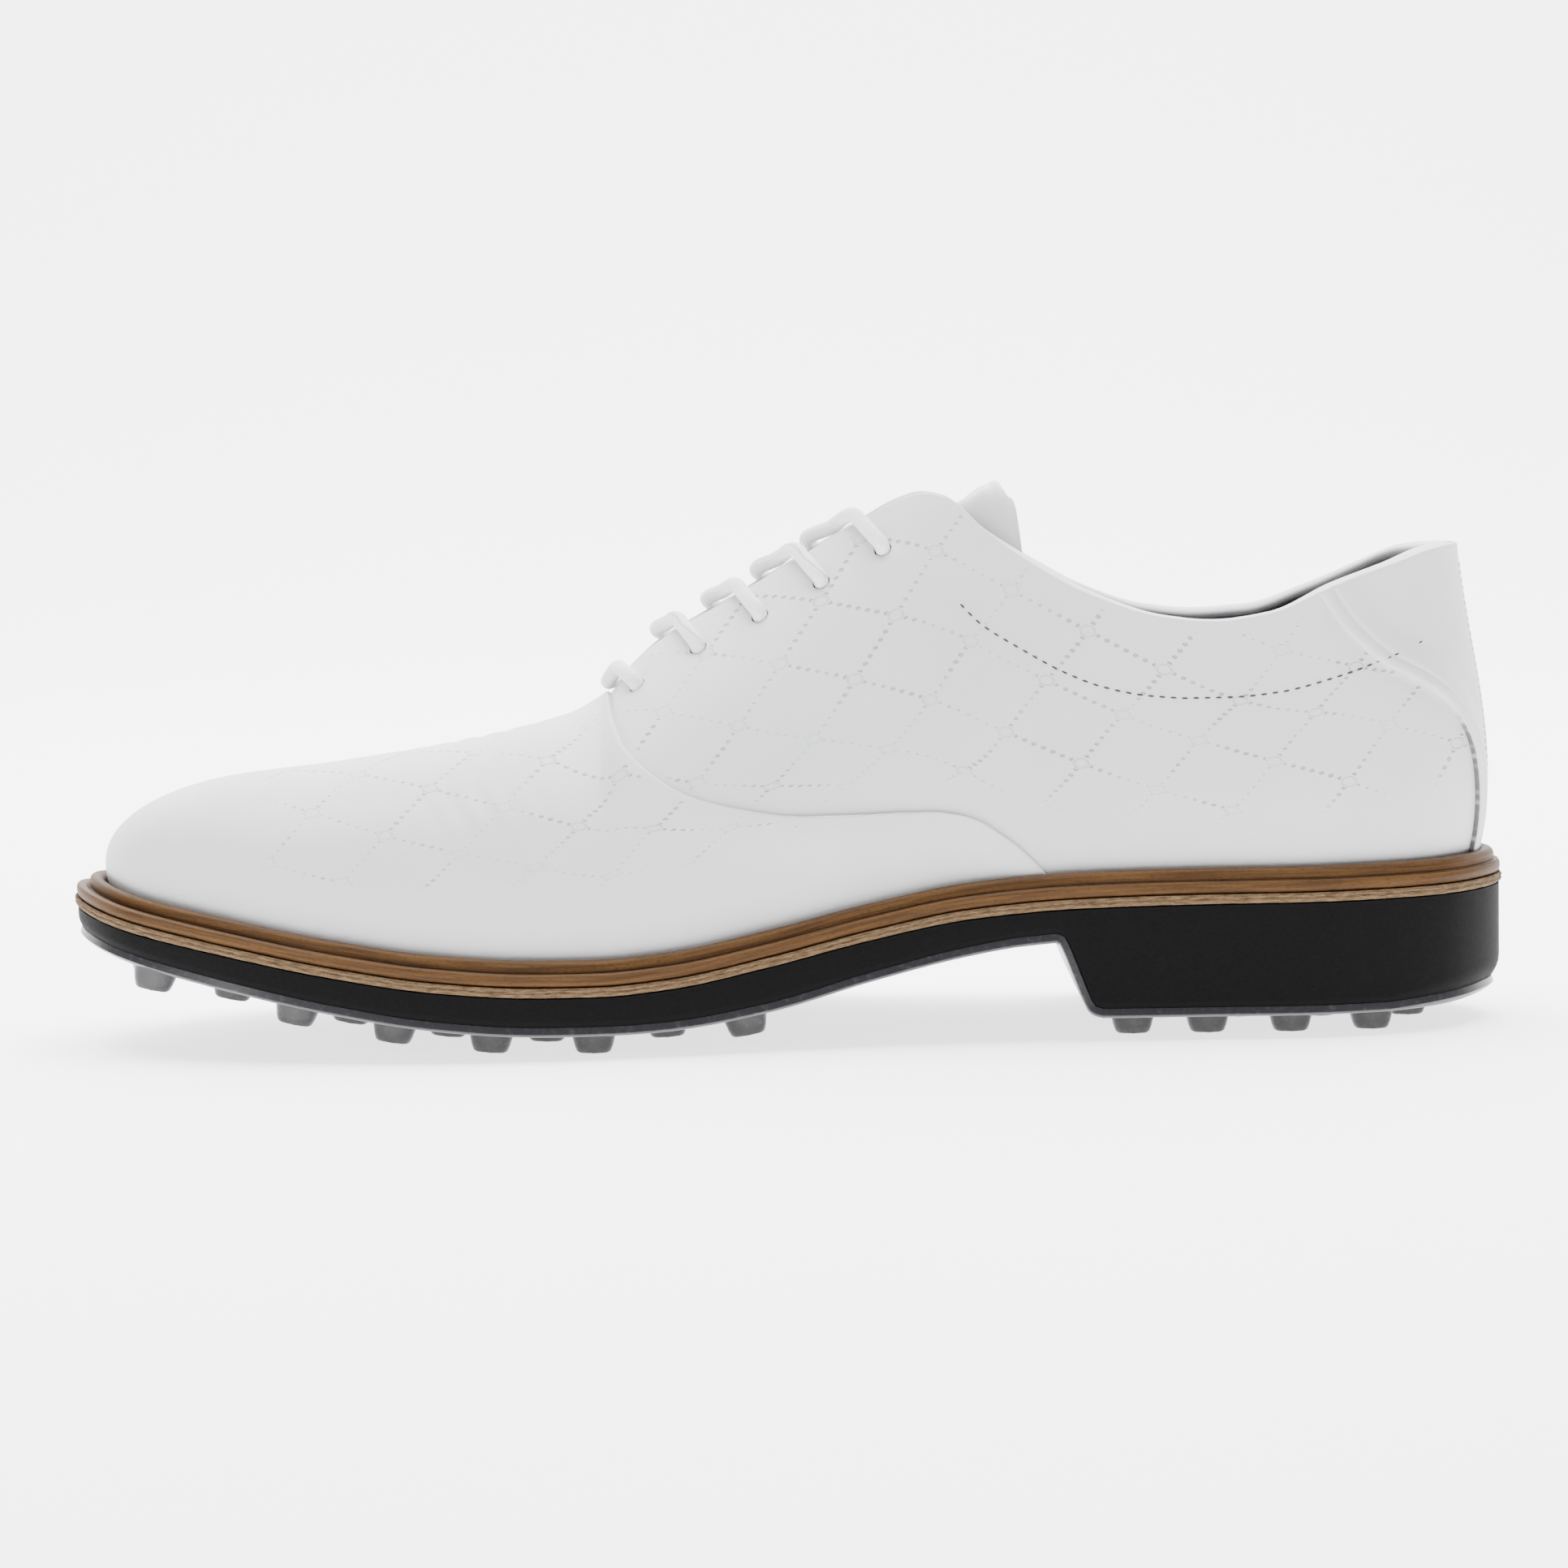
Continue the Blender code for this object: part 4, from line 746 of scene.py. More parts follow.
def ceiling(x, across, depth):
    """The height under the walls at a place; above the gap of the lacing there is none."""
    side, start = (INNER if across < 0 else OUTER), x
    t = np.linspace(1, 0.12, 90)
    for _ in range(4):
        along = float(share(start))
        wall = inside(side, np.full(len(t), float(w_at(along))), t, np.full(len(t), depth))
        out = (wall[:, 1] - float(table(MIDDLE, along))) * side
        grown = np.maximum.accumulate(out)
        start += x - float(np.interp(abs(across), grown, wall[:, 0]))
    if abs(across) < out[0]:
        return math.inf
    return float(np.interp(abs(across), grown, wall[:, 2]))


def tongue_rows(down):
    """The tongue's coarse rows at a depth: under the lacing, then straight out."""
    places = np.linspace(TONGUE_ROOT, TONGUE_LEAVES, 10)
    depths = LINING_INSIDE + 1.2 + 3.2 * ease(places, TONGUE_ROOT + 0.02, 0.36)
    reach = TONGUE_HALF * ACROSS
    rows = []
    for along, depth in zip(places, depths):
        x, middle = place(along), float(table(MIDDLE, along))
        heights = [ceiling(x, y, depth + down) for y in reach]
        crown = max(h for h, y in zip(heights, reach) if abs(y) > 0.25 * TONGUE_HALF
                    and h < math.inf) + 0.8
        heights = [crown if y == 0 else min(h, crown) for h, y in zip(heights, reach)]
        rows.append(np.array([(x, middle + y, h) for y, h in zip(reach, heights)]))
    mouth, crown = rows[-1], rows[-1][len(reach) // 2]
    ahead = np.array([math.cos(TONGUE_SLOPE), 0.0, math.sin(TONGUE_SLOPE)])
    for part in (0.2, 0.4, 0.6, 0.8, 1.0):
        row = mouth + (part * (TONGUE_END + (crown - mouth) @ ahead))[:, None] * ahead
        walls = [ceiling(x, y, depths[-1] + down) for x, y in zip(row[:, 0], reach)]
        row[:, 2] = np.minimum(row[:, 2], walls)
        rows.append(row)
    return np.array(rows)


def finer(grid, rows, columns):
    """A coarse grid read at more rows and columns through cubics both ways."""
    def along(values, count):
        knots = np.linspace(0, 1, len(values))
        return cubic(knots, values, np.gradient(values, knots, axis=0), np.linspace(0, 1, count))

    half = np.stack([along(grid[:, i], rows) for i in range(grid.shape[1])], axis=1)
    return np.stack([along(half[j], columns) for j in range(rows)])


def tongue():
    face = finer(tongue_rows(0.0), 110, 61)
    back = finer(tongue_rows(5.3), 110, 61)
    u = np.linspace(-1, 1, 61)[None, :]
    v = np.linspace(0, 1, 110)[:, None]
    rim = np.minimum((1 - np.abs(u)) * TONGUE_HALF, (1 - v) * 90.0)
    soft = folded(rim, 2.2)
    thick = face - back
    thick /= np.linalg.norm(thick, axis=-1, keepdims=True)
    outer = face - thick * (np.minimum(soft, 2.0))[..., None]
    seam = 0.35 * np.exp(-((rim - 3.2) / 0.45) ** 2)
    outer = outer - thick * seam[..., None]
    middle = face - thick * 4.2
    points, faces = shell(outer, middle)
    uv = np.stack([np.broadcast_to(v * 120, rim.shape), np.broadcast_to(u * 18, rim.shape)], axis=-1)
    top = make("tongue_pad", points, faces, ("tongue_face", "tongue_foam"), body="tongue",
               slot="white_leather", uv=np.stack([uv, uv]),
               marks={"punched": np.zeros(2 * rim.size), "seam_shade": np.zeros(2 * rim.size)})
    under = face - thick * 4.25
    points, faces = shell(under, under - thick * (0.9 - np.minimum(folded(rim, 0.8), 0.8))[..., None])
    make("tongue_cloth", points, faces, ("tongue_lining",), body="tongue", slot="black_lining")
    print("tongue:", round(float(chords(face[:, 30])[-1])), "mm long")


tongue()

# %% [markdown]
# ## The lace
# The cord goes up through a hole, over the edges, down the other side, and climbs one row
# underneath. Its route is the same as the solid one's, so it stays clear of the leather.


# %% Lace route
LACE_RADIUS = 1.62
TAIL_LENGTH, TIP_LENGTH = 52.0, 14.0


def bar(side, holes, row, over):
    """One bar: up through a hole, leaning forwards over both edges, and down again."""
    points = []
    for this, order in ((side, 1), (-side, -1)):
        w, t = holes[this][row]
        hole = last_surface(this, w, t)
        rise = [inside(this, w, t, d) for d in (LINING_INSIDE - 0.4, 1.2)]
        rise.append(inside(this, w, t + 0.006, -0.8))
        across = []
        for part in (0.25, 0.6, 0.95):
            up = last_surface(this, w, t + part * (1 - t))[2] - hole[2]
            leaning = float(w_at(share(hole[0] - math.tan(TONGUE_SLOPE) * up)))
            across.append(inside(this, leaning, t + part * (1 - t), over - 0.3 * part))
        points.append((rise + across)[::order])
    crown = (points[0][-1] + points[1][0]) / 2 + np.array([0.0, 0.0, 0.25])
    return points[0] + [crown] + points[1]


def tail(side, hole, under):
    """A free end tucked between lining and tongue."""
    w, t = hole
    toe_first = w < w_at(0.45)
    reach = TAIL_LENGTH / SIDE_LENGTH
    route = []
    for part in (0.03, 0.12, 0.28, 0.5, 0.75, 1.0):
        ahead = w + reach * part if toe_first else w - reach * part
        route.append(inside(side, ahead, t - 0.17 * ease(part, 0.0, 0.35), under + 0.4))
    return route


def lace_route():
    over, under = -1.72, LINING_INSIDE + 2.0
    holes = {side: eyelets(side) for side in (INNER, OUTER)}
    route = tail(INNER, holes[INNER][0], under)[::-1]
    side = INNER
    for row in range(EYELET_ROWS):
        route += bar(side, holes, row, over)
        side = -side
        if row < EYELET_ROWS - 1:
            (w, t), (next_w, next_t) = holes[side][row], holes[side][row + 1]
            for part in (0.16, 0.5, 0.84):
                at = (w + part * (next_w - w), t + part * (next_t - t))
                route.append(inside(side, *at, under))
    route += tail(side, holes[side][-1], under)
    return np.array(route)


def tube(line, radius, sides):
    """Rings carried along a line with a frame that never twists, and their mesh faces."""
    ahead = np.gradient(line, axis=0)
    ahead /= np.linalg.norm(ahead, axis=1)[:, None]
    up = np.cross(ahead, np.array([0.31, 0.52, 0.79]))
    up /= np.linalg.norm(up, axis=1)[:, None]
    side = np.cross(ahead, up)
    angle = np.linspace(0, 2 * math.pi, sides, endpoint=False)
    ring = line[:, None, :] + radius * (up[:, None, :] * np.cos(angle)[:, None]
                                        + side[:, None, :] * np.sin(angle)[:, None])
    count = ring.shape[1]
    ends = [list(range(count))[::-1],
            list(range((len(line) - 1) * count, len(line) * count))]
    faces = np.array(quads(*ring.shape[:2], wrap=True).tolist() + ends, dtype=object)
    run = np.broadcast_to(chords(line)[:, None], ring.shape[:2])
    uv = np.stack([run, np.broadcast_to(angle * radius, ring.shape[:2])], axis=-1)
    return ring, faces, uv


def lace():
    route = lace_route()
    run = chords(route)
    line = smooth(route, np.linspace(TIP_LENGTH, run[-1] - TIP_LENGTH, 900))
    ring, faces, uv = tube(line, LACE_RADIUS, 20)
    make("lace_cord", ring, faces, ("lace",), slot="lace_cotton", uv=uv)
    for name, first, last in (("tip_start", 1.0, 13.7), ("tip_end", run[-1] - 13.7, run[-1] - 1)):
        ring, faces, uv = tube(smooth(route, np.linspace(first, last, 12)), 1.3, 16)
        make(name, ring, faces, ({"tip_start": "aglet_start"}.get(name, "aglet_end"),),
             slot="aglet_plastic", uv=uv)
    print("lace:", round(float(run[-1])), "mm from tip to tip")


lace()

# %% [markdown]
# ## The sole
# Welt, runner, midsole and outsole all follow the feather line, each with its own profile: a
# list of (distance out, height) pairs carried round the shoe. Where the underside closes, the
# rings shrink towards the shoe's middle line, which keeps the heel breast straight across.

# %% Rings round the shoe
EVERY = 2
RING = slice(None, None, EVERY)


def ring(margin, level, up=0.0):
    """One loop: the outline moved out by a margin, at a level read from its own x."""
    flat = OUTLINE[RING] + OUTWARD[RING] * np.broadcast_to(margin, len(OUTLINE))[RING][:, None]
    lift = np.broadcast_to(up, len(OUTLINE))[RING]
    return np.column_stack([flat, level(flat[:, 0]) + lift])


def shrunk(loop, level, part):
    """A loop drawn in towards the middle line at the same x."""
    middle = table(MIDDLE, np.clip(share(loop[:, 0]), 0, 1)) * 0.6
    y = middle + (loop[:, 1] - middle) * (1 - part)
    return np.column_stack([loop[:, 0], y, level(loop[:, 0])])


def torus(name, loops, replaces, slot, **more):
    """Loops joined in a ring, so the section is closed too."""
    grid = np.array(loops)
    grid = np.concatenate([grid, grid[:1]])
    faces = quads(len(loops) + 1, grid.shape[1], wrap=True)
    faces = np.where(faces >= len(loops) * grid.shape[1], faces - len(loops) * grid.shape[1],
                     faces)
    return make(name, grid[:-1], faces, replaces, slot=slot, **more)


def capped(name, loops, replaces, slot, **more):
    """Loops from top to bottom whose first and last are closed by shrinking."""
    grid = np.array(loops)
    return make(name, grid, quads(*grid.shape[:2], wrap=True), replaces, slot=slot, weld=0.01,
                **more)


def section_uv(loops):
    grid = np.array(loops)
    run = np.broadcast_to(chords(OUTLINE[RING])[None, :], grid.shape[:2])
    over = np.concatenate([np.zeros((1, grid.shape[1])),
                           np.cumsum(np.linalg.norm(np.diff(grid, axis=0), axis=-1), axis=0)])
    return np.stack([run, over], axis=-1)


# %% Welt and runner
def welt():
    outer = WELT_MARGIN
    angle = np.linspace(0.05 * math.pi, math.pi, 13)
    profile = [(-5.0, 0.0), (-5.0, -SHELF), (outer - 1.0, -SHELF), (outer - 0.45, -SHELF + 0.12),
               (outer - 0.12, -SHELF + 0.45), (outer, -SHELF + 0.9), (outer, -0.95),
               (outer - 0.1, -0.5), (outer - 0.4, -0.14), (outer - 0.9, 0.0),
               (outer - 1.6, 0.04), (5.1, 0.02), (4.7, -0.25), (4.35, -0.42), (4.15, -0.2)]
    profile += [(2.6 + 1.6 * math.cos(a), 1.0 + 1.6 * math.sin(a)) for a in angle]
    profile += [(1.0, 0.4), (1.0, 0.0)]
    loops = [ring(m, welt_level, z) for m, z in profile]
    return torus("welt_strip", loops, ("storm_welt",), "welt_leather", uv=section_uv(loops))


def runner():
    outer = WELT_MARGIN
    top = -SHELF - 0.15
    low = -SHELF - GAP - RUNNER
    run = np.linspace(0, 2 * math.pi, len(OUTLINE), endpoint=False)
    rough = 0.10 * np.sin(run * 61) * np.sin(run * 23 + 1.3) + 0.07 * np.sin(run * 143 + 0.7)
    profile = [(-5.0, top), (-5.0, low), (outer - 0.2 + rough, low), (outer + 0.15 + rough, low + 0.25),
               (outer + 0.35 + rough, low + 0.7), (outer + 0.2 + rough, low + 1.15),
               (outer + 0.4 + rough, low + 1.5), (outer + 0.1 + rough, top)]
    loops = [ring(m, welt_level, z) for m, z in profile]
    return torus("fibre_runner", loops, ("welt_runner",), "runner_board", uv=section_uv(loops))


welt()
runner()

# %% Midsole
TOE_PART = np.clip(1 - share(OUTLINE[:, 0]) / 0.10, 0, 1)
HEEL_PART = np.clip((share(OUTLINE[:, 0]) - 0.92) / 0.07, 0, 1)
ROUNDING = EDGE_ROUND + (TOE_ROUND - EDGE_ROUND) * TOE_PART + (HEEL_ROUND - EDGE_ROUND) * HEEL_PART


def sole_body(name, node, slot, down, inset, top):
    """Side wall, rounded lower edge, and an underside drawn in to the middle line."""
    outer = WELT_MARGIN - 0.2 - inset
    under = tread(down)
    first = ring(outer, welt_level, top)
    loops = [shrunk(first, lambda x: welt_level(x) + top, part) for part in (1.0, 0.5)]
    loops.append(first)
    for turn in np.linspace(0, 1, 9):
        back = ROUNDING * (1 - math.cos(turn * math.pi / 2))
        lift = ROUNDING * (1 - math.sin(turn * math.pi / 2))
        loops.append(ring(outer - back, under, lift))
    last = loops[-1]
    loops += [shrunk(last, under, part) for part in (0.12, 0.4, 0.7, 1.0)]
    return capped(name, loops, (node,), slot, uv=section_uv(loops), crease=50.0)


MIDSOLE_TOP = -SHELF - RUNNER - 2 * GAP
sole_body("midsole_block", "midsole", "midsole_foam", 0.0, 0.0, MIDSOLE_TOP)


# %% Outsole film and studs
STUD_LENGTH, STUD_WIDTH = 9.6, 7.4
EDGE_STUDS = (0.042, 0.146, 0.215, 0.283, 0.355, 0.462)
BETWEEN_STUDS = (0.095, 0.180, 0.249, 0.319, 0.405)
MIDDLE_STUDS = (0.030, 0.120, 0.190, 0.262, 0.335, 0.430)
HEEL_EDGE_STUDS = (0.742, 0.796, 0.856, 0.915)
HEEL_INNER_STUDS = (0.769, 0.826, 0.885, 0.950)
STUD_ROWS = (
    (EDGE_STUDS, -0.78), (EDGE_STUDS, 0.78), (BETWEEN_STUDS, -0.42), (BETWEEN_STUDS, 0.42),
    (MIDDLE_STUDS, 0.0), (HEEL_EDGE_STUDS, -0.66), (HEEL_EDGE_STUDS, 0.66),
    (HEEL_INNER_STUDS, 0.0),
)


def film():
    """A thin skin: it climbs the midsole's rounded edge and closes the underside."""
    under, low = tread(0.12), tread(GAP + FILM)
    outer = WELT_MARGIN - 0.2
    loops = []
    for level, out, turns in ((under, 0.05, np.linspace(0.45, 1, 6)[::-1]),
                              (low, 0.75, np.linspace(0.45, 1, 6))):
        part = []
        for turn in turns:
            back = ROUNDING * (1 - math.cos(turn * math.pi / 2))
            lift = ROUNDING * (1 - math.sin(turn * math.pi / 2))
            part.append(ring(outer + out * (1 - turn) - back - 0.3 * (turn > 0.99), level, lift))
        if level is under:
            part = [shrunk(part[0], level, p) for p in (1.0, 0.5)] + part
        else:
            part = part + [shrunk(part[-1], level, p) for p in (0.12, 0.5, 1.0)]
        loops += part
    return capped("tread_film", loops, ("outsole",), "outsole_tpu", uv=section_uv(loops),
                  marks={"stud": np.zeros(np.array(loops).shape[:2])})


def studs():
    """Rounded six-sided blocks: superellipse rings that narrow downwards to a soft keel."""
    low = tread(GAP + FILM)
    centres = []
    sides = {}
    for side in (INNER, OUTER):
        flat = OUTLINE + OUTWARD * (WELT_MARGIN - ROUNDING)[:, None]
        keep = flat[:, 1] * side > 0
        order = np.argsort(flat[keep, 0])
        sides[side] = flat[keep][order]
    for row, across in STUD_ROWS:
        for along in row:
            x = place(along)
            near, far = (float(np.interp(x, sides[s][:, 0], sides[s][:, 1]))
                         for s in (INNER, OUTER))
            centres.append((x, (near + far) / 2 + across * (far - near) / 2))
    centres = np.array(centres)
    x, y = centres[:, 0], centres[:, 1]
    z = low(x)
    tilt = np.arctan((low(x + 2) - low(x - 2)) / 4)
    levels = np.array([(0.5, 1.10), (0.1, 1.02), (-0.3, 0.97), (-1.6, 0.92), (-3.2, 0.84),
                       (-4.2, 0.75), (-4.6, 0.64), (-4.7, 0.45), (-4.7, 0.0)])
    angle = np.linspace(0, 2 * math.pi, 25)[:-1]
    c, s = np.cos(angle), np.sin(angle)
    px = np.sign(c) * np.abs(c) ** 0.55 * STUD_LENGTH / 2
    py = np.sign(s) * np.abs(s) ** 0.7 * STUD_WIDTH / 2
    pz = levels[:, 0][:, None] + 0.0 * px[None, :]
    px, py = px[None, :] * levels[:, 1][:, None], py[None, :] * levels[:, 1][:, None]
    keel = -0.5 * np.clip(1 - np.abs(px) / (STUD_LENGTH / 2), 0, 1) * (levels[:, 0] < -4)[:, None]
    pz = np.maximum(pz + keel, -STUD_DROP)
    cos, sin = np.cos(tilt)[:, None, None], np.sin(tilt)[:, None, None]
    gx = x[:, None, None] + px * cos - pz * sin
    gz = z[:, None, None] + px * sin + pz * cos
    gy = y[:, None, None] + py + 0 * gx
    points = np.stack([gx, gy, gz], axis=-1)
    rows, columns = px.shape
    faces = np.concatenate([quads(rows, columns, n * rows * columns, wrap=True)
                            for n in range(len(centres))])
    uv = np.stack([gx, gy], axis=-1)
    mark = np.broadcast_to(np.clip(1 - np.abs(px) / 3.4, 0, 1), gx.shape)
    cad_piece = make("tread_studs", points, faces, (), slot="outsole_tpu", uv=uv,
                    marks={"stud": 0.2 + 0.8 * mark}, weld=0.001, crease=60.0)
    print("studs:", len(centres))
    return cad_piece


film()
studs()


# %% Footbed and insole
def footbed():
    """A thin sheet inside the lining, slightly cupped at its rim."""
    inset = -6.7
    top = lambda x: welt_level(x) + GAP * 4 + 2.0 + 3.5 + 1.0 - 0.3
    loops = []
    edge_loop = ring(inset, top, 0.0)
    loops += [shrunk(ring(inset, top, -1.0), lambda x: top(x) - 1.0, p) for p in (1.0, 0.4)]
    loops += [ring(inset, top, -1.0), ring(inset, top, -0.25), ring(inset - 0.25, top, 0.0)]
    loops += [shrunk(edge_loop, top, p) for p in (0.1, 0.4, 0.7, 1.0)]
    return capped("footbed_sheet", loops, ("footbed_cover",), "footbed_leather", body="footbed",
                  uv=section_uv(loops))


footbed()

# %% [markdown]
# ## Stitches
# A stitch is a short fat thread that dives into the leather at both ends. One small capsule is
# worked out once, then placed hundreds of times along a seam by one array product.


# %% Stitch rows
def stitches(name, side, path_w, path_t, lift, length, pitch, radius, slot):
    """Capsules along a path on the last; each one lies along the path and on the surface."""
    lift = np.broadcast_to(lift, len(path_w))
    fine = inside(side, path_w, path_t, -lift)
    run = chords(fine)
    at = np.arange(pitch / 2, run[-1] - pitch / 2, pitch)
    centre = np.stack([np.interp(at, run, fine[:, i]) for i in range(3)], axis=1)
    ahead = np.stack([np.interp(at + 0.5, run, fine[:, i]) - np.interp(at - 0.5, run, fine[:, i])
                      for i in range(3)], axis=1)
    ahead /= np.linalg.norm(ahead, axis=1)[:, None]
    out = (inside(side, np.interp(at, run, path_w), np.interp(at, run, path_t),
                  -np.interp(at, run, lift) - 1.0) - centre)
    out /= np.linalg.norm(out, axis=1)[:, None]
    across = np.cross(out, ahead)
    angle = np.linspace(0, 2 * math.pi, 7)[:-1]
    u = np.array([-1.0, -0.85, -0.4, 0.0, 0.4, 0.85, 1.0])
    fat = np.sqrt(np.clip(1 - np.abs(u) ** 4, 0, 1)) * radius + 0.01
    sink = -0.9 * radius * u ** 2
    local = np.stack([np.broadcast_to((u * length / 2)[:, None], (len(u), len(angle))),
                      fat[:, None] * np.cos(angle)[None, :],
                      fat[:, None] * np.sin(angle)[None, :] + sink[:, None]], axis=-1)
    axes = np.stack([ahead, across, out], axis=1)
    points = centre[:, None, None, :] + np.einsum("ijk,nkl->nijl", local, axes)
    rows, columns = local.shape[:2]
    faces = [quads(rows, columns, n * rows * columns, wrap=True) for n in range(len(at))]
    caps = []
    for n in range(len(at)):
        base = n * rows * columns
        caps.append(list(range(base, base + columns))[::-1])
        caps.append(list(range(base + (rows - 1) * columns, base + rows * columns)))
    faces = np.array(np.concatenate(faces).tolist() + caps, dtype=object)
    return make(name, points, faces, (), slot=slot)


COLLAR_ROW = ((0.620, 91.3), (0.635, 86.9), (0.665, 81.3), (0.695, 76.5), (0.724, 73.3),
              (0.754, 71.6), (0.784, 71.0), (0.8135, 71.1), (0.849, 72.1), (0.885, 74.6),
              (0.9265, 78.4), (0.962, 82.4))


def t_of_height(side, w, height):
    """The t at which the wall line of each w reaches a height: read off a fine ladder of t."""
    ladder = np.linspace(0.2, 1, 1600)
    z = last_surface(side, w[:, None], ladder[None, :])[..., 2]
    return ladder[np.abs(z - height[:, None]).argmin(axis=1)]


def collar_row(side, name):
    """Dark dashes under the collar, that step up onto the heel cover at the back."""
    along = np.linspace(COLLAR_ROW[0][0], COLLAR_ROW[-1][0], 260)
    w = w_at(along)
    t = t_of_height(side, w, table(COLLAR_ROW, along))
    seam = np.interp(t, T_LINE, HEEL_W)
    lap = LAP * ease((w - seam) * SIDE_LENGTH, -0.5, 0.5)
    lap = lap * (1 - ease((w - seam) * SIDE_LENGTH, 3.0, 10.0))
    return stitches(name, side, w, t, 0.03 + lap, 1.5, 2.35, 0.2, "black_lining")


def heel_row(side, name):
    t = np.linspace(0.03, 0.955, 300)
    w = np.interp(t, T_LINE, moved(HEEL_W, 0.0)) + 2.9 / SIDE_LENGTH
    return stitches(name, side, w, t, LAP - 0.28, 1.25, 1.65, 0.2, "white_leather")


for side, word in ((INNER, "inner"), (OUTER, "outer")):
    collar_row(side, "collar_stitch_" + word)
    heel_row(side, "heel_stitch_" + word)

# %% [markdown]
# ## Finishes
# Shader maths reads best as a formula. The class below wraps a socket, so that `1 - mask` adds
# the Math node it needs, and one method adds any other node.


# %% Shader maths
class Wire:
    """A socket with arithmetic: each operator adds one Math node."""

    def __init__(self, tree, socket):
        self.tree, self.socket = tree, socket

    def node(self, kind, settings=(), **sockets):
        return add_node(self.tree, kind, settings, **sockets)

    def maths(self, operation, *values):
        made = self.tree.nodes.new("ShaderNodeMath")
        made.operation = operation
        for slot, value in zip(made.inputs, values):
            connect(self.tree, slot, value)
        return Wire(self.tree, made.outputs[0])

    def __add__(self, other):
        return self.maths("ADD", self, other)

    __radd__ = __add__

    def __mul__(self, other):
        return self.maths("MULTIPLY", self, other)

    __rmul__ = __mul__

    def __sub__(self, other):
        return self.maths("SUBTRACT", self, other)

    def __rsub__(self, other):
        return self.maths("SUBTRACT", other, self)

    def __truediv__(self, other):
        return self.maths("DIVIDE", self, other)

    def power(self, value):
        return self.maths("POWER", self, value)

    def from_whole(self):
        """The distance to the nearest whole number."""
        return (self.maths("FRACT", self + 0.5) - 0.5).size()

    def size(self):
        return self.maths("ABSOLUTE", self)

    def root(self):
        return self.maths("SQRT", self)

    def low(self, other):
        return self.maths("MINIMUM", self, other)

    def high(self, other):
        return self.maths("MAXIMUM", self, other)

    def step(self, start, stop):
        """0 before start and 1 after stop, smoothed between."""
        made = self.tree.nodes.new("ShaderNodeMapRange")
        made.interpolation_type = "SMOOTHSTEP"
        for key, value in (("Value", self), ("From Min", start), ("From Max", stop)):
            connect(self.tree, made.inputs[key], value)
        return Wire(self.tree, made.outputs[0])


def connect(tree, slot, value):
    if isinstance(value, Wire):
        tree.links.new(value.socket, slot)
    elif isinstance(value, bpy.types.NodeSocket):
        tree.links.new(value, slot)
    else:
        slot.default_value = value


def add_node(tree, kind, settings=(), **sockets):
    """Any node: its settings first, then the values or links of its sockets."""
    made = tree.nodes.new(kind)
    for key, value in dict(settings).items():
        setattr(made, key, value)
    for key, value in sockets.items():
        connect(tree, made.inputs[key.replace("_", " ")], value)
    return made


class Finish:
    """A Principled material with helpers for noise, colour mixing and bumps."""

    def __init__(self, name, **constants):
        self.material = bpy.data.materials.new(name)
        self.material.use_nodes = True
        self.tree = self.material.node_tree
        self.shader = self.tree.nodes["Principled BSDF"]
        for key, value in constants.items():
            self.shader.inputs[key.replace("_", " ")].default_value = value
        self.normal = None

    def place(self, scale=1000.0):
        """Object coordinates in millimetres."""
        coordinate = add_node(self.tree, "ShaderNodeTexCoord")
        scaled = add_node(self.tree, "ShaderNodeVectorMath", {"operation": "SCALE"})
        self.tree.links.new(coordinate.outputs["Object"], scaled.inputs[0])
        scaled.inputs["Scale"].default_value = scale
        return scaled.outputs[0]

    def flat(self):
        """The piece's own flat coordinates, in millimetres, as two wires."""
        uv = add_node(self.tree, "ShaderNodeUVMap", {"uv_map": "flat"})
        split = add_node(self.tree, "ShaderNodeSeparateXYZ")
        self.tree.links.new(uv.outputs[0], split.inputs[0])
        return Wire(self.tree, split.outputs[0]), Wire(self.tree, split.outputs[1])

    def mark(self, key):
        made = add_node(self.tree, "ShaderNodeAttribute", {"attribute_name": key})
        return Wire(self.tree, made.outputs["Fac"])

    def noise(self, vector, scale, detail=3.0, rough=0.55):
        made = add_node(self.tree, "ShaderNodeTexNoise", Vector=vector, Scale=scale,
                        Detail=detail, Roughness=rough)
        return Wire(self.tree, made.outputs["Fac"])

    def cells(self, vector, scale, feature="F1"):
        made = add_node(self.tree, "ShaderNodeTexVoronoi", {"feature": feature}, Vector=vector,
                        Scale=scale)
        return Wire(self.tree, made.outputs["Distance"])

    def mix(self, part, low, high):
        made = add_node(self.tree, "ShaderNodeMix", {"data_type": "RGBA"})
        connect(self.tree, made.inputs[0], part)
        for slot, value in ((made.inputs[6], low), (made.inputs[7], high)):
            connect(self.tree, slot, value if not isinstance(value, tuple) else (*value, 1.0))
        return made.outputs[2]

    def feed(self, key, value):
        connect(self.tree, self.shader.inputs[key], value)

    def bump(self, height, distance, strength=1.0):
        made = add_node(self.tree, "ShaderNodeBump", Strength=strength, Distance=distance,
                        Height=height)
        if self.normal is not None:
            self.tree.links.new(self.normal, made.inputs["Normal"])
        self.normal = made.outputs[0]
        self.tree.links.new(self.normal, self.shader.inputs["Normal"])


def vector_of(finish, x, y, z=0.0):
    made = add_node(finish.tree, "ShaderNodeCombineXYZ", X=x, Y=y, Z=z)
    return made.outputs[0]


# %% [markdown]
# ## White leather
# Coated leather is almost white, with a fine pebble, soft cloudy stains and small punched dots.
# The dots lie on a lattice: each place is written as so many steps of two slanted vectors, and
# a dot sits wherever one count is whole and the other is a whole number of eighths.

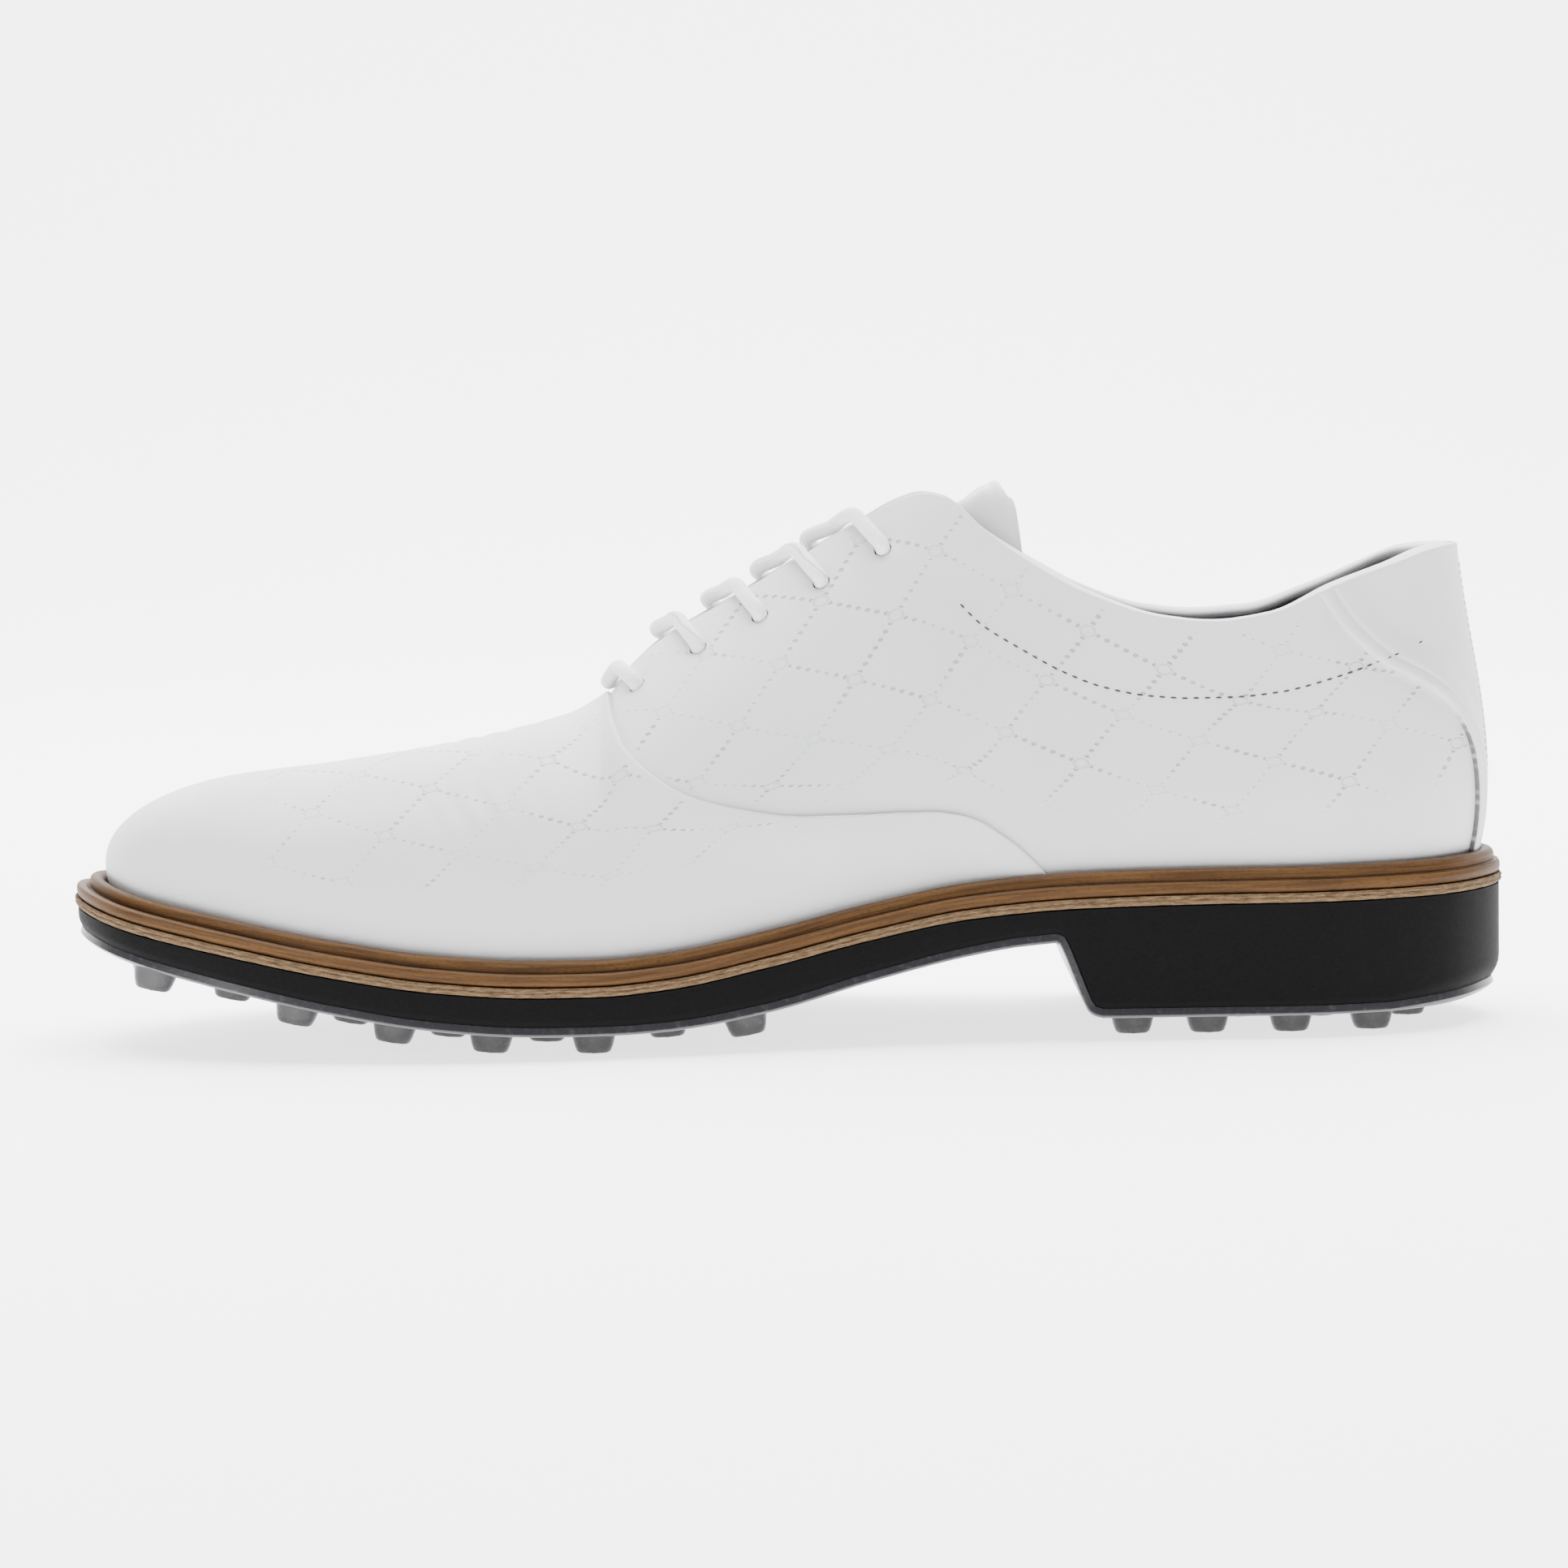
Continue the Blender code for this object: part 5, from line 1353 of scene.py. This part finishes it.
# %% Leather
STEP_A, STEP_B = (15.6, -7.0), (8.8, 15.1)
DOTS_A, DOTS_B = 8, 8
LATTICE_AT = (5.05, 63.3)


def leather(name, punched, colour=(0.635, 0.64, 0.655)):
    made = Finish(name, Roughness=0.46, Specular_IOR_Level=0.38, Coat_Weight=0.0)
    made.shader.inputs["Subsurface Weight"].default_value = 0.0
    spot = made.place()
    cloud = made.noise(spot, 0.045, 2.0)
    grain = made.cells(spot, 1.5)
    fine = made.noise(spot, 2.4, 4.0, 0.6)
    tone = made.mix(cloud.step(0.35, 0.7), tuple(c * 0.965 for c in colour), colour)
    tone = made.mix((fine - 0.5).size() * 0.22, tone, tuple(c * 0.86 for c in colour))
    made.bump(grain * 0.45 + fine * 0.55, 0.00005, 0.55)
    made.bump(cloud, 0.0004, 0.35)
    if punched:
        u, v = made.flat()
        det = STEP_A[0] * STEP_B[1] - STEP_A[1] * STEP_B[0]
        u, v = u - LATTICE_AT[0], v - LATTICE_AT[1]
        i = (u * STEP_B[1] - v * STEP_B[0]) / det
        j = (v * STEP_A[0] - u * STEP_A[1]) / det
        long_a, long_b = math.hypot(*STEP_A), math.hypot(*STEP_B)
        along_a = (i * DOTS_A).from_whole() * (long_a / DOTS_A)
        along_b = (j * DOTS_B).from_whole() * (long_b / DOTS_B)
        line_a = j.from_whole() * long_b
        line_b = i.from_whole() * long_a
        gap_a = (along_a * along_a + line_a * line_a).root()
        gap_b = (along_b * along_b + line_b * line_b).root()
        cross = (line_a * line_a + line_b * line_b).root()
        swell = made.noise(spot, 0.06, 1.0).step(0.40, 0.60)
        dots = 1 - (gap_a.low(gap_b) - swell * 0.22).step(0.16, 0.34)
        dots = dots * cross.step(1.9, 2.2)
        circle = 1 - (cross - 1.45).size().step(0.10, 0.30)
        vary = swell * 0.55 + 0.45
        holes = (dots * 1.0).high(circle * 0.4) * made.mark("punched") * vary
        tone = made.mix(holes * 0.5, tone, (0.09, 0.09, 0.095))
        made.bump(1 - holes, 0.0003, 1.0)
    # A dark line on the heel cover's seam edge: painted shade.
    seam_shade = made.mark("seam_shade")
    tone = made.mix(seam_shade * 0.9, tone, (0.06, 0.06, 0.065))
    made.feed("Base Color", tone)
    return made.material


def paint(material, *names):
    for name in names:
        piece = bpy.data.objects[name]
        piece.data.materials.clear()
        piece.data.materials.append(material)
    print(material.name, "on", ", ".join(names))


paint(leather("punched leather", True), "toe_vamp", "side_inner", "side_outer")
paint(leather("plain leather", False), "heel_wrap", "collar_edge", "tongue_pad")


# %% Cloth, lace and thread
def cloth():
    """A dull knit: two crossing waves of loops under a short fuzz."""
    made = Finish("lining cloth", Roughness=0.95, Specular_IOR_Level=0.15, Sheen_Weight=0.25)
    spot = made.place()
    fuzz = made.noise(spot, 1.8, 4.0, 0.7)
    loops = made.cells(spot, 1.4)
    made.feed("Base Color", made.mix(fuzz, (0.012, 0.012, 0.014), (0.05, 0.05, 0.055)))
    made.bump(loops * 0.6 + fuzz * 0.6, 0.0003, 0.8)
    return made.material


def braid():
    """Round braid: two families of strands that cross on the cord's own flat map."""
    made = Finish("lace braid", Roughness=0.82, Specular_IOR_Level=0.25, Sheen_Weight=0.2)
    u, v = made.flat()
    turn = 2 * math.pi * LACE_RADIUS
    a = (u / 1.15 + v * (6.0 / turn)).from_whole()
    b = (u / 1.15 - v * (6.0 / turn)).from_whole()
    strands = a.high(b)
    fuzz = made.noise(made.place(), 3.0, 3.0, 0.7)
    # Painted shade: the cord is darker in the low grooves between its strands; the fuzz adds a random
    # tone.
    made.feed("Base Color", made.mix(strands * 0.5 + fuzz * 0.25, (0.93, 0.93, 0.92),
                                     (0.74, 0.74, 0.735)))
    made.bump(1 - strands * 1.3 + fuzz * 0.25, 0.00022, 0.75)
    return made.material


def thread(name, colour):
    made = Finish(name, Roughness=0.7)
    fuzz = made.noise(made.place(), 6.0, 2.0)
    made.feed("Base Color", made.mix(fuzz, colour, tuple(c * 0.7 for c in colour)))
    made.bump(fuzz, 0.0001, 0.5)
    return made.material


def moulded(name, colour, rough=0.5, metallic=0.0, scale=1.6, depth=0.00006):
    """A moulded surface: even colour, with a fine orange peel."""
    made = Finish(name, Roughness=rough, Metallic=metallic)
    spot = made.place()
    peel = made.noise(spot, scale, 3.0)
    cloud = made.noise(spot, 0.05, 2.0)
    made.feed("Base Color", made.mix(cloud, colour, tuple(c * 0.85 for c in colour)))
    made.feed("Roughness", peel * 0.12 + (rough - 0.06))
    made.bump(peel, depth, 0.6)
    return made.material


paint(cloth(), "sock_lining", "tongue_cloth")
paint(braid(), "lace_cord")
paint(moulded("clear tip", (0.8, 0.8, 0.8), 0.25), "tip_start", "tip_end")
paint(thread("dark thread", (0.035, 0.035, 0.04)), "collar_stitch_inner", "collar_stitch_outer")
paint(thread("white thread", (0.78, 0.785, 0.8)), "heel_stitch_inner", "heel_stitch_outer")


# %% Welt leather and fibre
def welt_finish():
    """Dyed strap leather: long fibres round the shoe, with darker pores."""
    made = Finish("welt leather", Roughness=0.6, Specular_IOR_Level=0.16)
    u, v = made.flat()
    long = made.noise(vector_of(made, u * 0.05, v * 1.3), 1.0, 4.0, 0.6)
    pores = made.noise(vector_of(made, u * 0.9, v * 2.2), 1.0, 3.0, 0.6)
    tone = made.mix(long.step(0.3, 0.7), (0.042, 0.018, 0.0045), (0.090, 0.042, 0.0115))
    tone = made.mix(pores.step(0.52, 0.72) * 0.5, tone, (0.020, 0.0085, 0.003))
    made.feed("Base Color", tone)
    made.feed("Roughness", long * 0.2 + 0.46)
    made.bump(long * 0.6 + pores * 0.6, 0.00018, 0.7)
    return made.material


def runner_finish():
    """Pressed fibre: paler, rough, with specks."""
    made = Finish("fibre board", Roughness=0.9, Specular_IOR_Level=0.2)
    u, v = made.flat()
    long = made.noise(vector_of(made, u * 0.35, v * 2.0), 1.0, 4.0, 0.7)
    speck = made.noise(vector_of(made, u * 1.6, v * 2.6), 1.0, 3.0, 0.7)
    tone = made.mix(long.step(0.32, 0.68), (0.066, 0.039, 0.019), (0.185, 0.12, 0.064))
    tone = made.mix(speck.step(0.55, 0.68) * 0.7, tone, (0.05, 0.027, 0.014))
    made.feed("Base Color", tone)
    made.bump(long * 0.7 + speck, 0.0005, 0.9)
    return made.material


paint(welt_finish(), "welt_strip")
paint(runner_finish(), "fibre_runner")


# %% Sole finishes
def smoked():
    """Smoky translucent plastic over black: light seeps through the thin parts of the studs."""
    made = Finish("smoked plastic", Roughness=0.32, IOR=1.5, Specular_IOR_Level=0.4)
    made.shader.inputs["Subsurface Weight"].default_value = 0.35
    made.shader.inputs["Subsurface Radius"].default_value = (0.004, 0.0042, 0.005)
    made.shader.inputs["Subsurface Scale"].default_value = 0.6
    spot = made.place()
    peel = made.noise(spot, 0.9, 3.0)
    stud = made.mark("stud")
    tone = made.mix(stud, (0.018, 0.018, 0.021), (0.040, 0.039, 0.040))
    tone = made.mix(peel.step(0.5, 0.8) * 0.3, tone, (0.09, 0.09, 0.095))
    made.feed("Base Color", tone)
    made.bump(peel, 0.00012, 0.5)
    return made.material


midsole = moulded("midsole foam", (0.0022, 0.0022, 0.0026), 0.7, depth=0.0001)
midsole.node_tree.nodes["Principled BSDF"].inputs["Specular IOR Level"].default_value = 0.08
paint(midsole, "midsole_block")
paint(smoked(), "tread_film", "tread_studs")
paint(moulded("footbed leather", (0.03, 0.03, 0.033), 0.7), "footbed_sheet")

# %% Hidden parts
HIDDEN = {
    "insole_board": ("board", (0.50, 0.40, 0.28), 0.85, 0.0),
    "shank": ("shank steel", (0.55, 0.56, 0.58), 0.35, 1.0),
    "forefoot_filler": ("cork", (0.45, 0.30, 0.17), 0.9, 0.0),
    "heel_filler": ("cork", (0.45, 0.30, 0.17), 0.9, 0.0),
    "footbed_foam": ("foam", (0.30, 0.30, 0.31), 0.95, 0.0),
    "toe_puff": ("stiffener", (0.55, 0.52, 0.46), 0.8, 0.0),
    "heel_counter": ("stiffener", (0.55, 0.52, 0.46), 0.8, 0.0),
    "eyestay_medial": ("stiffener", (0.55, 0.52, 0.46), 0.8, 0.0),
    "eyestay_lateral": ("stiffener", (0.55, 0.52, 0.46), 0.8, 0.0),
}
for node, (word, colour, rough, metallic) in HIDDEN.items():
    made = bpy.data.materials.get(word) or moulded(word, colour, rough, metallic, 0.8, 0.0003)
    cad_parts[node].data.materials.clear()
    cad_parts[node].data.materials.append(made)
print("hidden parts painted:", len(HIDDEN))

# %% [markdown]
# ## The studio
# A pale seamless floor, a large soft light over the shoe, two fill cards and a bright world
# give the even, nearly shadowless light of a catalogue.


# %% Floor, light and camera
def floor():
    """A flat sweep that curves up behind: a straight part, a quarter circle, a straight part."""
    turn = np.linspace(0, math.pi / 2, 12)
    y = np.concatenate([[-2600.0], 900 + 500 * np.sin(turn), [1400.0]])
    z = np.concatenate([[0.0], 500 - 500 * np.cos(turn), [2600.0]])
    x = np.linspace(-2500, 2500, 5)
    grid = np.stack(np.broadcast_arrays(x[None, :], y[:, None], z[:, None]), axis=-1)
    mesh = bpy.data.meshes.new("floor")
    mesh.from_pydata((grid.reshape(-1, 3) * MM).tolist(), [], quads(*grid.shape[:2]).tolist())
    mesh.polygons.foreach_set("use_smooth", np.ones(len(mesh.polygons), bool))
    sweep = bpy.data.objects.new("floor", mesh)
    bpy.context.scene.collection.objects.link(sweep)
    made = Finish("paper", Roughness=0.9, Specular_IOR_Level=0.1, Emission_Strength=2.2)
    made.shader.inputs["Emission Color"].default_value = (1.0, 1.0, 1.0, 1.0)
    made.feed("Base Color", (0.93, 0.93, 0.93, 1.0))
    mesh.materials.append(made.material)


def light(name, where, towards, size, power, colour=(1, 1, 1)):
    lamp = bpy.data.lights.new(name, "AREA")
    lamp.shape, lamp.size, lamp.size_y = "RECTANGLE", size[0], size[1]
    lamp.energy, lamp.color = power, colour
    holder = bpy.data.objects.new(name, lamp)
    holder.location = where
    aim = Vector(towards) - Vector(where)
    holder.rotation_euler = aim.to_track_quat("-Z", "Y").to_euler()
    bpy.context.scene.collection.objects.link(holder)


floor()
light("top", (0.0, 0.15, 1.25), (0, 0, 0.05), (1.5, 1.0), 62.0)
light("front_left", (-1.1, -1.3, 0.65), (0, 0, 0.05), (0.7, 0.7), 9.0)
light("front_right", (1.2, -1.2, 0.55), (0, 0, 0.05), (0.9, 0.9), 0.8)
light("back", (0.0, 1.0, 0.9), (0, 0, 0.05), (1.6, 0.8), 22.0)
world = bpy.data.worlds.new("studio")
world.use_nodes = True
world.node_tree.nodes["Background"].inputs["Color"].default_value = (1.0, 1.0, 1.0, 1.0)
world.node_tree.nodes["Background"].inputs["Strength"].default_value = 0.30
bpy.context.scene.world = world

DISTANCE, ELEVATION, ROLL = 1.0, math.radians(5.0), math.radians(0.92)
AIM = Vector((-0.0013, 0.0, 0.0518))
camera_data = bpy.data.cameras.new("camera")
camera_data.sensor_width = 36.0
camera_data.lens = 36.0 * DISTANCE / 0.3368
camera_data.clip_start = 0.05
camera = bpy.data.objects.new("camera", camera_data)
offset = Vector((0.0, -math.cos(ELEVATION), math.sin(ELEVATION))) * DISTANCE
camera.location = AIM + offset
look = (-offset).to_track_quat("-Z", "Y") @ Quaternion((0, 0, 1), -ROLL)
camera.rotation_euler = look.to_euler()
bpy.context.scene.collection.objects.link(camera)
bpy.context.scene.camera = camera
print("camera:", [round(v, 3) for v in camera.location], "lens", round(camera_data.lens, 1), "mm")
